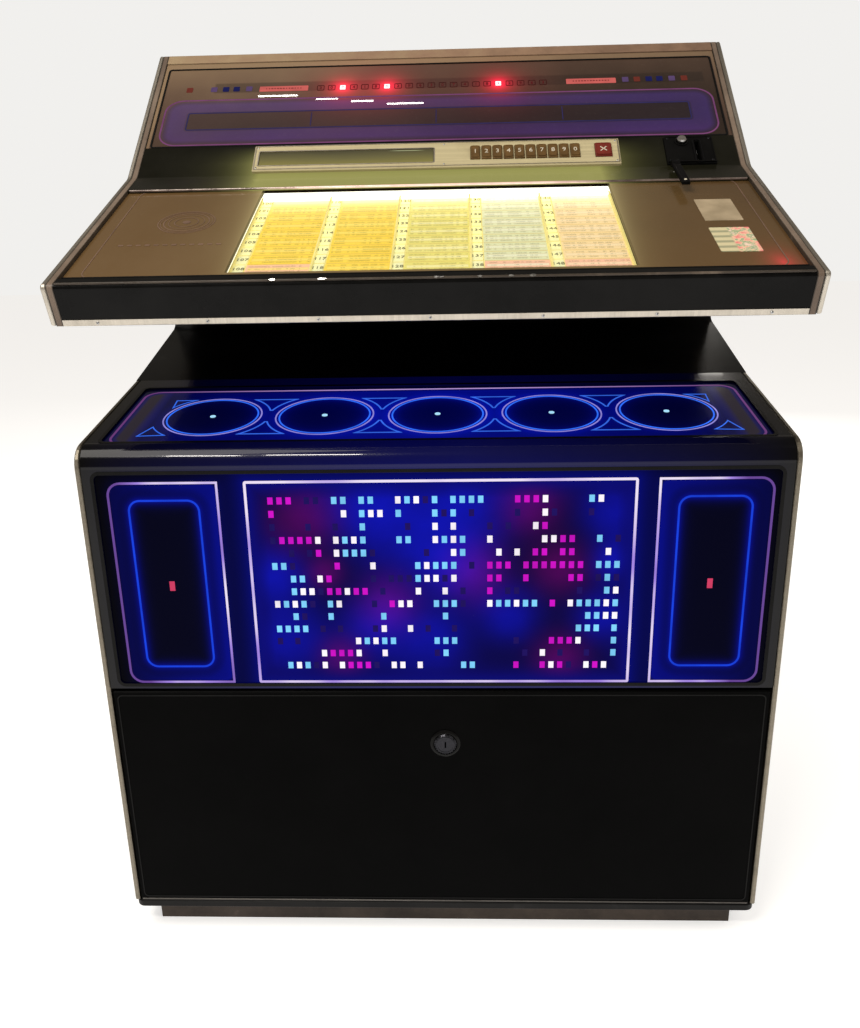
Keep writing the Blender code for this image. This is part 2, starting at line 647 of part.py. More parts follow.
def make_titles(paint):
    """The rack under the desk glass, five columns wide, and the lamp tube above its top edge."""
    columns = 5
    column = 0.0926
    half = column * columns / 2 + 0.0010
    base, face, rib_top = -0.0205, -0.0165, -0.0120
    outline = [(-half, base), (half, base)]
    for i in range(columns, -1, -1):
        x = -half + 0.0010 + i * column
        outline += [(x + 0.0010, rib_top), (x - 0.0010, rib_top)]
        if i:
            outline += [(x - 0.0010, face), (x - column + 0.0010, face)]
    rack = new_object("title_rack", extrusion(outline, "Y", 0.0300, 0.2920), paint["title_plate"], frame=DESK)
    lamp_at = DESK @ Vector((0, 0.3140, -0.0240))
    half_end = [(0.0080, 0.214), (0.0075, 0.222), (0.0030, 0.222), (0.0030, 0.228), (0, 0.228)]
    ends = [(radius, -along) for radius, along in half_end[::-1]] + half_end
    lamp = new_object("title_lamp", turned(ends, 20), paint["lamp_glass"], frame=aim("X", lamp_at))
    return [rack, lamp]


def key_positions():
    """(name, middle along X, width) of every key, from left to right."""
    digits = [1, 2, 3, 4, 5, 6, 7, 8, 9, 0]
    keys = [(f"key_{digit}", KEY_FIRST_X + i * KEY_PITCH, KEY_WIDTH) for i, digit in enumerate(digits)]
    return keys + [("reset_key", RESET_X, RESET_WIDTH)]


def make_controls(paint):
    """The control panel at the hood's foot, the key bar, its sprung keys and the coin entry."""
    inner = CHEEK_INNER - 0.0005
    across = (-inner, inner)
    lip = 0.298
    outline = [
        on_slope(HOOD, PANEL_HIGH), on_slope(HOOD, PANEL_HIGH, -PANEL_THICK),
        on_slope(HOOD, 0.004, -PANEL_THICK), on_slope(DESK, 0.3320, -0.0110), on_slope(DESK, 0.3260, -0.0110),
        on_slope(DESK, 0.3260, -0.0040), on_slope(DESK, lip, -0.0040), on_slope(DESK, lip, 0),
        HOOD_FOOT,
    ]
    outline = fillet(outline, {7: 0.0018, 8: 0.010})
    panel = profile_piece("control_panel", outline, *across, paint["black_gloss"])
    cut = 0.02
    key_well = box("key_well", (KEY_FIRST_X - 0.0100, RESET_X + 0.0145), (KEY_ROW - 0.0160, KEY_ROW + 0.0160),
                   (-cut, cut), None, frame=HOOD)
    coin_well = box("coin_well", (COIN_X[0] - 0.0005, COIN_X[1] + 0.0005),
                    (COIN_S[0] - 0.0005, COIN_S[1] + 0.0005), (-cut, cut), None, frame=HOOD)
    combine(panel, [key_well, coin_well], "DIFFERENCE")

    bar = box("keypad_bar", (-BAR_HALF, BAR_HALF), (BAR_LOW, BAR_HIGH), (GAP, BAR_THICK), paint["champagne"],
              frame=HOOD)
    soften(bar, 0.0012, 1)
    recess = box("display_recess", (-0.2470, -0.0015), (0.0135, 0.0425), (0.0030, cut), None, frame=HOOD)
    holes = [recess]
    keys = []
    for name, x, width in key_positions():
        side = width / 2
        tall = KEY_HEIGHT / 2
        holes.append(box(f"hole_{name}", (x - side - 0.0004, x + side + 0.0004),
                         (KEY_ROW - tall - 0.0004, KEY_ROW + tall + 0.0004), (-cut, cut), None, frame=HOOD))
        colour = paint["key_red"] if name == "reset_key" else paint["key_brown"]
        middle = HOOD @ Matrix.Translation((x, KEY_ROW, 0))
        key = box(name, (-side, side), (-tall, tall), (-0.0030, 0.0080), colour, frame=middle)
        keys.append(soften(key, 0.0012, 2))
    combine(bar, holes, "DIFFERENCE")

    block = box("coin_block", COIN_X, COIN_S, (-0.0100, 0.0030), paint["black_satin"], frame=HOOD)
    soften(block, 0.0015, 2)
    (slot_width, slot_low, slot_high) = COIN_SLOT
    slot = box("coin_slot", (COIN_SLOT_X - slot_width / 2, COIN_SLOT_X + slot_width / 2),
               (slot_low, slot_high), (-cut, cut), None, frame=HOOD)
    button_frame = HOOD @ Matrix.Translation((*COIN_BUTTON, 0))
    button_rod = rod(COIN_BUTTON_RADIUS + 0.0006, -cut, cut, 24)
    button_hole = new_object("button_hole", button_rod, None, frame=button_frame)
    combine(block, [slot, button_hole], "DIFFERENCE")
    crown = [(0, -0.0110), (0.0050, -0.0110), (COIN_BUTTON_RADIUS, -0.0095), (COIN_BUTTON_RADIUS, 0.0072),
             (0.0052, 0.0090), (0, 0.0096)]
    button = new_object("coin_button", turned(crown, 24), paint["chrome"], frame=button_frame)

    acceptor = box("coin_acceptor", (0.3200, 0.3820), (back_of_face(0.352), back_of_face(0.452)),
                   (0.900, 1.010), paint["steel"])
    throat = box("acceptor_throat", (COIN_SLOT_X - 0.004, COIN_SLOT_X + 0.004),
                 (back_of_face(0.34), back_of_face(0.400)), (0.92, 1.02), None)
    combine(acceptor, [throat], "DIFFERENCE")

    lever = make_lever(paint)
    return [panel, bar, block, acceptor] + keys + [button, lever]


def make_lever(paint):
    """The coin return lever: it lies over the glass and lifts about its root above the panel's lip."""
    root = DESK @ Vector((LEVER_X, 0.3330, 0.0085))
    frame = DESK @ Matrix.Translation((LEVER_X, 0.3330, 0.0085))
    barrel = rod(0.0045, -0.0055, 0.0055, 16)
    lever = new_object("return_lever", barrel, paint["black_satin"], frame=aim("X", root))
    blade = box("lever_blade", (-0.0055, 0.0055), (-0.0760, 0.0), (-0.0025, 0.0025), None, frame=frame)
    combine(lever, [soften(blade, 0.001, 1)], "UNION")
    return lever


def make_hinge(paint):
    """The long hinge of the lid: its leaf on the cabinet's back board, and its barrel."""
    y, z = to_world(LID_AXIS)
    leaf = box("lid_hinge", (-0.400, 0.400), (back_of_face(REAR + 0.0002), back_of_face(REAR + 0.0016)),
               (0.755, z), paint["steel"])
    barrel = new_object("hinge_barrel", rod(0.0031, -0.400, 0.400, 12), None, frame=aim("X", (0, y, z)))
    combine(leaf, [barrel], "UNION")


def build():
    for thing in list(bpy.data.objects):
        bpy.data.objects.remove(thing)
    paint = make_materials()
    make_cabinet(paint)
    make_front(paint)
    make_door(paint)
    make_sound(paint)
    make_wheels(paint)
    make_mechanism(paint)
    make_hinge(paint)
    lid = make_lid_shell(paint) + make_titles(paint) + make_controls(paint)
    y, z = to_world(LID_AXIS)
    hang_on(axis_empty("lid_axis", (0, y, z)), lid)


build()
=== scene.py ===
"""The looks of a coin-operated jukebox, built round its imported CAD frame. Metres, +Z up."""

import json
import math
import random

import bmesh
import bpy
from mathutils import Matrix, Vector

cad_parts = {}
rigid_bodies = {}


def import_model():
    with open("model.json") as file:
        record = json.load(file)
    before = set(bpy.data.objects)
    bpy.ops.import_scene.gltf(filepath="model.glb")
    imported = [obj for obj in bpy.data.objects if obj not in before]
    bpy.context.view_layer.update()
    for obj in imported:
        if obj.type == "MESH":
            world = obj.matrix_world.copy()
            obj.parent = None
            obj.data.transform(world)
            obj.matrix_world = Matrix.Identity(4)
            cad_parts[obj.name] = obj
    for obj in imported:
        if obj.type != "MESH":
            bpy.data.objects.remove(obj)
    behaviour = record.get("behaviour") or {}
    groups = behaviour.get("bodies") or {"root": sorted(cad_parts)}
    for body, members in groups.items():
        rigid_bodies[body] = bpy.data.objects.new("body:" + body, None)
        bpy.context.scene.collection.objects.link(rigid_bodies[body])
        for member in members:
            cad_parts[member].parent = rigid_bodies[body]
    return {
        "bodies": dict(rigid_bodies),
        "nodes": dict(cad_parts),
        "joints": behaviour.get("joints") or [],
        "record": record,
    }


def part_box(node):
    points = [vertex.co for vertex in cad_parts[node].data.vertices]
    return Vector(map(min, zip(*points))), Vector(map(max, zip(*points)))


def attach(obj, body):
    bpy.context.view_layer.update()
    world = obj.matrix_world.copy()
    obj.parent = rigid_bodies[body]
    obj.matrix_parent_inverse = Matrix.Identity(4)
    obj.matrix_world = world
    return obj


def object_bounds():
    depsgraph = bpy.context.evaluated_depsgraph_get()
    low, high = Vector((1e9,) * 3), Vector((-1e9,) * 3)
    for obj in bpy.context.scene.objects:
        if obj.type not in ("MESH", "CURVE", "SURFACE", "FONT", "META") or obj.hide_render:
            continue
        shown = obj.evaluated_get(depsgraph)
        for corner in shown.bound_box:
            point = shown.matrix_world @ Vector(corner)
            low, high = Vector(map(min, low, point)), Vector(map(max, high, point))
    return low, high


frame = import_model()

CAD_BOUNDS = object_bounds()
NODES = frame["nodes"]
RNG = random.Random(45)


# ---------------------------------------------------------------- frames on the CAD's plates
def face_frame(node, towards, crest=False):
    """A frame on a plate's biggest face, or its highest: lower middle, X across, Y up it, Z out."""
    mesh = NODES[node].data
    towards = Vector(towards).normalized()
    best = max((p for p in mesh.polygons if p.normal.dot(towards) > 0.3), key=lambda p: p.area)
    out = best.normal.copy()
    out.x = 0
    out.normalize()
    up = out.cross(Vector((1, 0, 0)))
    points = [v.co for v in mesh.vertices]
    low = min(p.dot(up) for p in points)
    high = max(p.dot(up) for p in points)
    top = max(p.dot(out) for p in points) if crest else best.center.dot(out)
    turn = Matrix(((1, 0, 0), tuple(up), tuple(out))).transposed().to_4x4()
    return Matrix.Translation(up * low + out * top) @ turn, high - low


HOOD, HOOD_LENGTH = face_frame("hood_glass", (0, -1, 1))
DESK, DESK_LENGTH = face_frame("desk_glass", (0, -1, 2))
SHELF, SHELF_LENGTH = face_frame("shelf_glass", (0, -1, 3))
FACE, _ = face_frame("front_glass", (0, -1, 0))
BAR, BAR_LENGTH = face_frame("keypad_bar", (0, -1, 1), crest=True)
RACK, RACK_LENGTH = face_frame("title_rack", (0, -1, 2))
COIN, COIN_LENGTH = face_frame("coin_block", (0, -1, 1))


# ---------------------------------------------------------------- places and turns
def at(x, y, z=0.0):
    """A shift."""
    return Matrix.Translation((x, y, z))


def spin(angle, axis):
    """A turn, in radians, about one axis."""
    return Matrix.Rotation(angle, 4, axis)


QUARTER = math.pi / 2
UPRIGHT = spin(QUARTER, "X")  # stands a drawing in XY up, facing the front
FACING_BACK = UPRIGHT @ Matrix.Diagonal((-1, 1, -1, 1))
ALONG = {"X": spin(QUARTER, "Y"), "Y": spin(-QUARTER, "X")}


def aim(axis, location):
    """A place whose Z lies along one of the row's axes."""
    return Matrix.Translation(location) @ ALONG[axis]


def outward(sign, x, y, z):
    """A place on the left (-1) or right (1) side, its Z pointing away from the cabinet."""
    return at(sign * x, y, z) @ spin(sign * QUARTER, "Y")


# ---------------------------------------------------------------- meshes
SHARP_ANGLE = math.radians(40)


def placed(name, data):
    """A new object in the scene."""
    thing = bpy.data.objects.new(name, data)
    bpy.context.scene.collection.objects.link(thing)
    return thing


def piece(name, maker, paint, body):
    """Makes the object of a bmesh, paints it with one paint or several, and hangs it on a CAD body."""
    bmesh.ops.recalc_face_normals(maker, faces=maker.faces)
    mesh = bpy.data.meshes.new(name)
    maker.to_mesh(mesh)
    maker.free()
    thing = placed(name, mesh)
    for one in paint if isinstance(paint, (list, tuple)) else [paint]:
        mesh.materials.append((PAINTS[one] if isinstance(one, str) else one).material)
    mesh.shade_smooth()
    mesh.set_sharp_from_angle(angle=SHARP_ANGLE)
    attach(thing, body)


def add_box(maker, low, high, matrix=Matrix(), bevel=0.0, segments=2, material=0):
    """A box from its low corner to its high one, with softened edges if it has a bevel."""
    low, high = Vector(low), Vector(high)
    made = bmesh.ops.create_cube(maker, size=1)["verts"]
    shape = Matrix.Translation((low + high) / 2) @ Matrix.Diagonal((*(high - low), 1))
    bmesh.ops.transform(maker, matrix=shape, verts=made)
    faces = list({f for v in made for f in v.link_faces})
    if bevel:
        edges = list({e for v in made for e in v.link_edges})
        cut = bmesh.ops.bevel(maker, geom=edges, offset=bevel, segments=segments, profile=0.5, affect="EDGES")
        known = set(cut["faces"]) | set(faces)
        faces = [f for f in maker.faces if f in known]
        made = list({v for f in faces for v in f.verts})
    for face in faces:
        face.material_index = material
    bmesh.ops.transform(maker, matrix=matrix, verts=made)


def rounded(width, height, radius, steps=8, centre=(0, 0)):
    """A rounded rectangle's outline, anticlockwise."""
    result = []
    for k, (sx, sy) in enumerate(((1, 1), (-1, 1), (-1, -1), (1, -1))):
        cx = centre[0] + sx * (width / 2 - radius)
        cy = centre[1] + sy * (height / 2 - radius)
        for i in range(steps + 1):
            angle = QUARTER * (k + i / steps)
            result.append((cx + radius * math.cos(angle), cy + radius * math.sin(angle)))
    return result


def circle(radius, sides=64, centre=(0, 0)):
    """A circle's outline, anticlockwise."""
    return [(centre[0] + radius * math.cos(2 * math.pi * i / sides),
             centre[1] + radius * math.sin(2 * math.pi * i / sides)) for i in range(sides)]


def add_slab(maker, outline, low, high, matrix=Matrix(), material=0):
    """A flat outline in XY pushed from low to high along Z."""
    corners = [maker.verts.new((x, y, low)) for x, y in outline]
    face = maker.faces.new(corners)
    pushed = bmesh.ops.extrude_face_region(maker, geom=[face])["geom"]
    top = [g for g in pushed if isinstance(g, bmesh.types.BMVert)]
    bmesh.ops.translate(maker, verts=top, vec=(0, 0, high - low))
    for f in {f for v in corners + top for f in v.link_faces}:
        f.material_index = material
    bmesh.ops.transform(maker, matrix=matrix, verts=corners + top)


def add_ribbon(maker, outline, width, low, high, matrix=Matrix(), material=0):
    """A closed line of some width, with a little thickness, that follows an outline in XY."""
    count = len(outline)
    rings = []
    for i, point in enumerate(outline):
        before = (Vector(outline[i]) - Vector(outline[i - 1])).normalized()
        after = (Vector(outline[(i + 1) % count]) - Vector(point)).normalized()
        side = (Vector((before.y, -before.x)) + Vector((after.y, -after.x))).normalized()
        reach = width / 2 / max(0.3, side.dot(Vector((before.y, -before.x))))
        inner = Vector(point) - side * reach
        outer = Vector(point) + side * reach
        rings.append([maker.verts.new((*p, z)) for p, z in
                      ((inner, low), (outer, low), (outer, high), (inner, high))])
    for i in range(count):
        a, b = rings[i], rings[(i + 1) % count]
        for k in range(4):
            face = maker.faces.new((a[k], a[(k + 1) % 4], b[(k + 1) % 4], b[k]))
            face.material_index = material
    bmesh.ops.transform(maker, matrix=matrix, verts=[v for ring in rings for v in ring])


def add_turned(maker, profile, sides, matrix, closed=False, material=0):
    """A (radius, height) profile spun round Z."""
    rings = []
    for radius, height in profile:
        if radius < 1e-7:
            rings.append([maker.verts.new((0, 0, height))])
            continue
        rings.append([maker.verts.new((radius * math.cos(2 * math.pi * i / sides),
                                       radius * math.sin(2 * math.pi * i / sides), height))
                      for i in range(sides)])
    pairs = list(zip(rings, rings[1:])) + ([(rings[-1], rings[0])] if closed else [])
    for a, b in pairs:
        for i in range(sides):
            j = (i + 1) % sides
            corners = [a[i % len(a)], a[j % len(a)], b[j % len(b)], b[i % len(b)]]
            corners = list(dict.fromkeys(corners))
            if len(corners) > 2:
                maker.faces.new(corners).material_index = material
    bmesh.ops.transform(maker, matrix=matrix, verts=[v for ring in rings for v in ring])


def add_rod(maker, half, radius, end_radius, taper, matrix):
    """A thin round bar along Z, a little narrower at its ends."""
    profile = [(0, -half), (end_radius, -half), (radius, -half + taper)]
    add_turned(maker, profile + [(r, -z) for r, z in profile[::-1]], 12, matrix)


# ---------------------------------------------------------------- material language
def feed(tree, sockets, values):
    """Links each value to its socket, or sets the socket to it."""
    for socket, value in zip(sockets, values):
        if isinstance(value, Num):
            value = value.socket
        if isinstance(value, bpy.types.NodeSocket):
            tree.links.new(value, socket)
        else:
            socket.default_value = (*value, 1) if socket.type == "RGBA" else value


class Num:
    """A number in a material's node tree; arithmetic on it adds Math nodes."""

    def __init__(self, tree, socket):
        self.tree, self.socket = tree, socket

    def math(self, operation, *others, clamp=False):
        """This number and others through one Math node."""
        node = self.tree.nodes.new("ShaderNodeMath")
        node.operation = operation
        node.use_clamp = clamp
        feed(self.tree, node.inputs, (self, *others))
        return Num(self.tree, node.outputs[0])

    def __add__(self, other): return self.math("ADD", other)
    def __sub__(self, other): return self.math("SUBTRACT", other)
    def __mul__(self, other): return self.math("MULTIPLY", other)
    def __truediv__(self, other): return self.math("DIVIDE", other)
    def abs(self): return self.math("ABSOLUTE")
    def min(self, other): return self.math("MINIMUM", other)
    def max(self, other): return self.math("MAXIMUM", other)
    def root(self): return self.math("SQRT")
    def wrap(self, period): return self.math("WRAP", period, 0.0)

    def clamp(self):
        """Held between 0 and 1."""
        return self.math("ADD", 0.0, clamp=True)

    def glow(self, reach):
        """Light that falls off on both sides of 0."""
        return (self.abs() * (-1.0 / reach)).math("EXPONENT")

    def over(self, limit, slope):
        """0 up to a limit, then rising to 1."""
        return ((self - limit) * slope).clamp()

    def under(self, limit, slope):
        """0 from a limit on, and rising to 1 below it."""
        return ((self * -1.0 + limit) * slope).clamp()


class Paint:
    """One Principled material and the small library of patterns that its sockets read."""

    def __init__(self, name, colour=(0.5, 0.5, 0.5), roughness=0.5, metallic=0.0, specular=0.5, coat=0.0):
        self.material = bpy.data.materials.new(name)
        self.material.use_nodes = True
        self.tree = self.material.node_tree
        self.shader = self.tree.nodes["Principled BSDF"]
        self.set("Base Color", colour)
        self.set("Roughness", roughness)
        self.set("Metallic", metallic)
        self.set("Specular IOR Level", specular)
        self.set("Coat Weight", coat)
        self.set("Coat Roughness", 0.04)

    def set(self, socket, value):
        """Gives one of the shader's sockets a value, a number of the tree or a colour of it."""
        feed(self.tree, [self.shader.inputs[socket]], [value])

    def place(self, matrix=None):
        """(x, y, z) in the row frame, or in a frame given by its matrix. Textures then read it."""
        self.where = self.tree.nodes.new("ShaderNodeTexCoord").outputs["Object"]
        if matrix is not None:
            inverse = matrix.inverted()
            mapping = self.tree.nodes.new("ShaderNodeMapping")
            values = (self.where, inverse.to_translation(), inverse.to_euler())
            feed(self.tree, [mapping.inputs[name] for name in ("Vector", "Location", "Rotation")], values)
            self.where = mapping.outputs[0]
        split = self.tree.nodes.new("ShaderNodeSeparateXYZ")
        self.tree.links.new(self.where, split.inputs[0])
        return [Num(self.tree, out) for out in split.outputs]

    def combine(self, kind, values):
        """Three numbers as one socket: "XYZ" for a vector, "Color" for a colour."""
        node = self.tree.nodes.new(f"ShaderNodeCombine{kind}")
        feed(self.tree, node.inputs, values)
        return node.outputs[0]

    def vector(self, x, y, z=0.0): return self.combine("XYZ", (x, y, z))
    def colour(self, red, green, blue): return self.combine("Color", (red, green, blue))

    def texture(self, kind, stretch, where, settings):
        """A texture's value at this material's place, or at another vector."""
        mapping = self.tree.nodes.new("ShaderNodeMapping")
        feed(self.tree, [mapping.inputs["Vector"], mapping.inputs["Scale"]], [where or self.where, stretch])
        node = self.tree.nodes.new(f"ShaderNodeTex{kind}")
        settings = {"Vector": mapping.outputs[0], **settings}
        feed(self.tree, [node.inputs[name] for name in settings], settings.values())
        return Num(self.tree, node.outputs[0])

    def noise(self, scale, detail=3.0, stretch=(1, 1, 1), rough=0.5, where=None):
        """Noise from 0 to 1, about 0.5 in the middle."""
        return self.texture("Noise", stretch, where, {"Scale": scale, "Detail": detail, "Roughness": rough})

    def cells(self, scale):
        """The distance to the nearest of many scattered points."""
        return self.texture("Voronoi", (1, 1, 1), None, {"Scale": scale})

    def ramp(self, value, *stops):
        """A colour from a number: stops are (position, colour)."""
        node = self.tree.nodes.new("ShaderNodeValToRGB")
        while len(node.color_ramp.elements) < len(stops):
            node.color_ramp.elements.new(0.5)
        for element, (position, colour) in zip(node.color_ramp.elements, stops):
            element.position = position
            element.color = (*colour, 1)
        self.tree.links.new(value.socket, node.inputs[0])
        return node.outputs[0]

    def steps(self, index, colours):
        """One colour for each whole number from 0."""
        share = 1 / len(colours)
        made = self.ramp((index + 0.5) * share, *((i * share, colour) for i, colour in enumerate(colours)))
        made.node.color_ramp.interpolation = "CONSTANT"
        return made

    def mix(self, amount, first, second):
        """The first colour, going over to the second as the amount goes from 0 to 1."""
        node = self.tree.nodes.new("ShaderNodeMix")
        node.data_type = "RGBA"
        feed(self.tree, [node.inputs[i] for i in (0, 6, 7)], (amount, first, second))
        return node.outputs[2]

    def bump(self, height, distance, strength=0.5):
        """A relief on the surface, in metres."""
        node = self.tree.nodes.new("ShaderNodeBump")
        names = ("Height", "Distance", "Strength")
        feed(self.tree, [node.inputs[name] for name in names], (height, distance, strength))
        self.set("Normal", node.outputs[0])

    def box_distance(self, x, y, centre, half, radius):
        """Signed distance to a rounded rectangle."""
        qx = (x - centre[0]).abs() - (half[0] - radius)
        qy = (y - centre[1]).abs() - (half[1] - radius)
        outside = (qx.max(0.0) * qx.max(0.0) + qy.max(0.0) * qy.max(0.0)).root()
        return outside + qx.max(qy).min(0.0) - radius

    def lamps(self, x, y, lamps):
        """The light of soft lamps behind a plate, as one number for each of two kinds."""
        sums = [None, None]
        for spot_x, spot_y, reach, kind in lamps:
            dx = (x - spot_x) * (1 / reach)
            dy = (y - spot_y) * (1 / reach)
            light = ((dx * dx + dy * dy) * -1.6).math("EXPONENT")
            sums[kind] = light if sums[kind] is None else sums[kind] + light
        return sums

    def emit(self, colour, strength):
        """Light that the surface gives off."""
        self.set("Emission Color", colour)
        self.set("Emission Strength", strength)


def dress(node, paint):
    """Gives a CAD node its material."""
    slots = NODES[node].data.materials
    if len(slots):
        for i in range(len(slots)):
            slots[i] = paint.material
    else:
        slots.append(paint.material)


# ---------------------------------------------------------------- materials
def black_finish(name, roughness, specular, grain, depth, wear=0.0, tint=(1.0, 0.96, 0.94), level=1.0):
    """Black lacquer or plastic: dust, uneven gloss, a fine surface and rubbed patches; a high level and a
    warm tint lift the patches into a painted brown sheen.
    """
    paint = Paint(name, roughness=roughness, specular=specular)
    paint.place()
    dust = paint.noise(9, 5, rough=0.7)
    specks = (paint.cells(420) - 0.10) * -14.0
    shades = [tuple(level * value * part for part in tint) for value in (0.0022, 0.0055, 0.022)]
    amount = dust * 0.9 + specks.clamp() * 0.05 + wear * 0.2
    paint.set("Base Color", paint.ramp(amount, (0.35, shades[0]), (0.62, shades[1]), (0.80, shades[2])))
    smear = paint.noise(5, 4, (1, 0.4, 2.2))
    paint.set("Roughness", (smear * 0.30 + (roughness - 0.15)).clamp())
    paint.bump(paint.noise(grain, 2, rough=0.6), depth, 0.35)
    return paint


def brushed(name, colour, roughness, stretch, grime=0.35, dark=(0.20, 0.17, 0.12), metallic=1.0):
    """Metal with fine lines along one axis and grime that gathers in patches."""
    paint = Paint(name, metallic=metallic)
    paint.place()
    lines = paint.noise(260, 3, stretch, 0.65)
    stain = paint.noise(14, 5, rough=0.7)
    base = paint.ramp(lines, (0.30, tuple(c * 0.78 for c in colour)), (0.70, colour))
    paint.set("Base Color", paint.mix(((stain - 0.52) * 3.2).clamp() * grime, base, dark))
    paint.set("Roughness", (lines * 0.22 + stain * 0.16 + (roughness - 0.19)).clamp())
    paint.bump(lines, 0.00025, 0.25)
    return paint


def moulded(name, colour, roughness, grain=800, depth=0.0002, mottle=0.25, specular=0.4):
    """Plastic, rubber or paper pulp: a mottled colour over a fine grain."""
    paint = Paint(name, roughness=roughness, specular=specular)
    paint.place()
    patches = paint.noise(22, 5, rough=0.7)
    low = tuple(c * (1 - mottle) for c in colour)
    high = tuple(min(1.0, c * (1 + mottle * 0.6)) for c in colour)
    paint.set("Base Color", paint.ramp(patches, (0.32, low), (0.68, high)))
    paint.set("Roughness", (patches * 0.2 + (roughness - 0.10)).clamp())
    paint.bump(paint.noise(grain, 3), depth, 0.4)
    return paint


def wooden(name, light, dark):
    """Raw board: long grain with darker rings and a fibrous surface."""
    paint = Paint(name, roughness=0.75, specular=0.25)
    paint.place()
    warp = paint.noise(3, 3, (1, 1, 0.25))
    grain = paint.noise(60, 4, (1, 1, 0.06), 0.7)
    fleck = paint.noise(700, 2, (1, 1, 0.1))
    rings = ((warp * 60.0).math("SINE") * 0.5 + 0.5) * 0.35 + grain * 0.65
    paint.set("Base Color", paint.ramp(rings, (0.25, dark), (0.75, light)))
    paint.set("Roughness", grain * 0.25 + 0.6)
    paint.bump(grain * 0.6 + fleck * 0.4, 0.0004, 0.5)
    return paint


BLACK = (0.0, 0.0, 0.0)
EVEN = (1, 1, 1)  # a texture's stretch: the same in all directions
ALONG_X, ALONG_Z = (0.02, 1, 1), (0.02, 0.02, 1)


def lit(name, colour, strength, base=(0.002, 0.002, 0.002)):
    """A printed window lit from behind, a little uneven."""
    paint = Paint(name, base, 0.5, specular=0.02)
    paint.place()
    uneven = paint.noise(35, 2)
    paint.emit(colour, uneven * strength * 0.7 + strength * 0.65)
    return paint


def make_paints():
    """The finishes that several parts share."""
    return {
        "gloss": black_finish("gloss_black", 0.20, 0.10, 900, 0.00008),
        "satin": black_finish("satin_black", 0.45, 0.05, 1500, 0.0003, 0.1),
        # The boards' black is lifted a little above the gloss: a painted sheen for the light they reflect.
        "laminate": black_finish("black_laminate", 0.42, 0.14, 700, 0.0003, 0.3, level=1.4),
        # A pale brown black for the fascia's top edge: lacquer wear, lightened as a painted highlight.
        "cheek": black_finish("edge_wear_sheen", 0.38, 0.30, 700, 0.0003, 0.3, (1.0, 0.76, 0.56), 11.0),
        # Black rubber for the gaskets; also laid on screw recesses and slots as painted shade.
        "gasket": moulded("black_gasket_and_shade", (0.004, 0.004, 0.004), 0.7, specular=0.1),
        # The plinth's brown is a painted reflection of the floor on its dark face.
        "plinth": black_finish("plinth_brown", 0.6, 0.2, 500, 0.0004, 0.3, (1.0, 0.76, 0.60), 13.0),
        # A darker copy of the satin black for the lower door: painted shade.
        "door": black_finish("door_shaded_black", 0.42, 0.03, 1500, 0.0003, 0.1, (1.0, 0.95, 1.0), 0.18),
        "trim": brushed("edge_trim", (0.62, 0.57, 0.49), 0.42, (1, 0.02, 0.02), 0.5),
        # A darker copy of the edge trim for the body's trims: painted shade.
        "body_trim": brushed("body_edge_trim_shaded", (0.26, 0.23, 0.18), 0.45, ALONG_Z, 0.6, (0.05, 0.04, 0.03)),
        # A pale bead for the door's lower edge: a painted highlight.
        "sill": brushed("sill_painted_highlight", (0.16, 0.15, 0.14), 0.5, ALONG_X, 0.6, (0.02, 0.02, 0.02)),
        "dark_chrome": brushed("dark_chrome", (0.035, 0.035, 0.040), 0.3, EVEN, 0.3, (0.01, 0.01, 0.01)),
        "champagne": brushed("champagne_bar", (0.58, 0.50, 0.29), 0.5, ALONG_X, 0.4, (0.25, 0.19, 0.09), 0.2),
        "steel": brushed("zinc_steel", (0.60, 0.60, 0.60), 0.36, (1, 1, 0.03)),
        "chrome": brushed("bright_chrome", (0.88, 0.86, 0.84), 0.18, EVEN, 0.15),
        "cast": brushed("cast_alloy", (0.34, 0.34, 0.35), 0.55, EVEN, 0.3),
        "pressed": brushed("pressed_steel", (0.45, 0.44, 0.42), 0.45, (0.04, 1, 1), 0.35),
        "brown_key": moulded("key_brown", (0.125, 0.068, 0.020), 0.42, mottle=0.4, specular=0.25),
        "red_key": moulded("key_red", (0.17, 0.022, 0.014), 0.42, mottle=0.35, specular=0.2),
        "cream": moulded("cream_plastic", (0.60, 0.53, 0.38), 0.45),
        "rubber": moulded("black_rubber", (0.012, 0.012, 0.012), 0.8, 1400, 0.0004, specular=0.2),
        "cone": moulded("cone_paper", (0.016, 0.015, 0.014), 0.9, 260, 0.0012, specular=0.1),
        "board": wooden("raw_board", (0.42, 0.29, 0.17), (0.24, 0.15, 0.08)),
        "circuit": moulded("circuit_board", (0.015, 0.11, 0.045), 0.4),
        "ink": moulded("printed_ink", (0.10, 0.095, 0.05), 0.6),
        "tan_print": moulded("tan_print", (0.16, 0.095, 0.062), 0.5),
        "pale_ink": moulded("pale_ink", (0.62, 0.56, 0.44), 0.5),
    }


# ---------------------------------------------------------------- stage
FLOOR_HALF = 12
LAMP_COLOUR = (1.0, 0.95, 0.88)
AIMED_AT = Vector((0, 0, 0.6))
CEILING = 3.0
# The world's light: the ray that sees it, its colour and strength.
WORLD = ((None, (1.0, 0.93, 0.84), 0.45), ("Is Glossy Ray", (1.0, 0.90, 0.76), 0.16),
         ("Is Camera Ray", (0.88, 0.87, 0.85), 1.0))
# Lamps: place, width, depth, power. Three are soft, and two show on the knee.
SOFT_LAMPS = (((-1.4, -1.2, 3.2), 1.6, 1.6, 42), ((2.4, -0.8, 2.6), 2.0, 2.0, 20),
              ((0.5, 3.0, 1.5), 1.6, 1.6, 36))
KNEE_LAMPS = (((-0.99, -1.9, 2.6), 0.30, 0.10, 11.0), ((-0.55, -1.9, 2.6), 0.38, 0.10, 13.0))
# Thin ceiling tubes that show in the hood glass: x, y, length.
TUBES = ((-0.587, 0.644, 0.135), (-0.419, 0.631, 0.075), (-0.298, 0.621, 0.075), (-0.152, 0.610, 0.125))
TUBE_DEPTH = 0.004
TUBE_POWER = 0.9


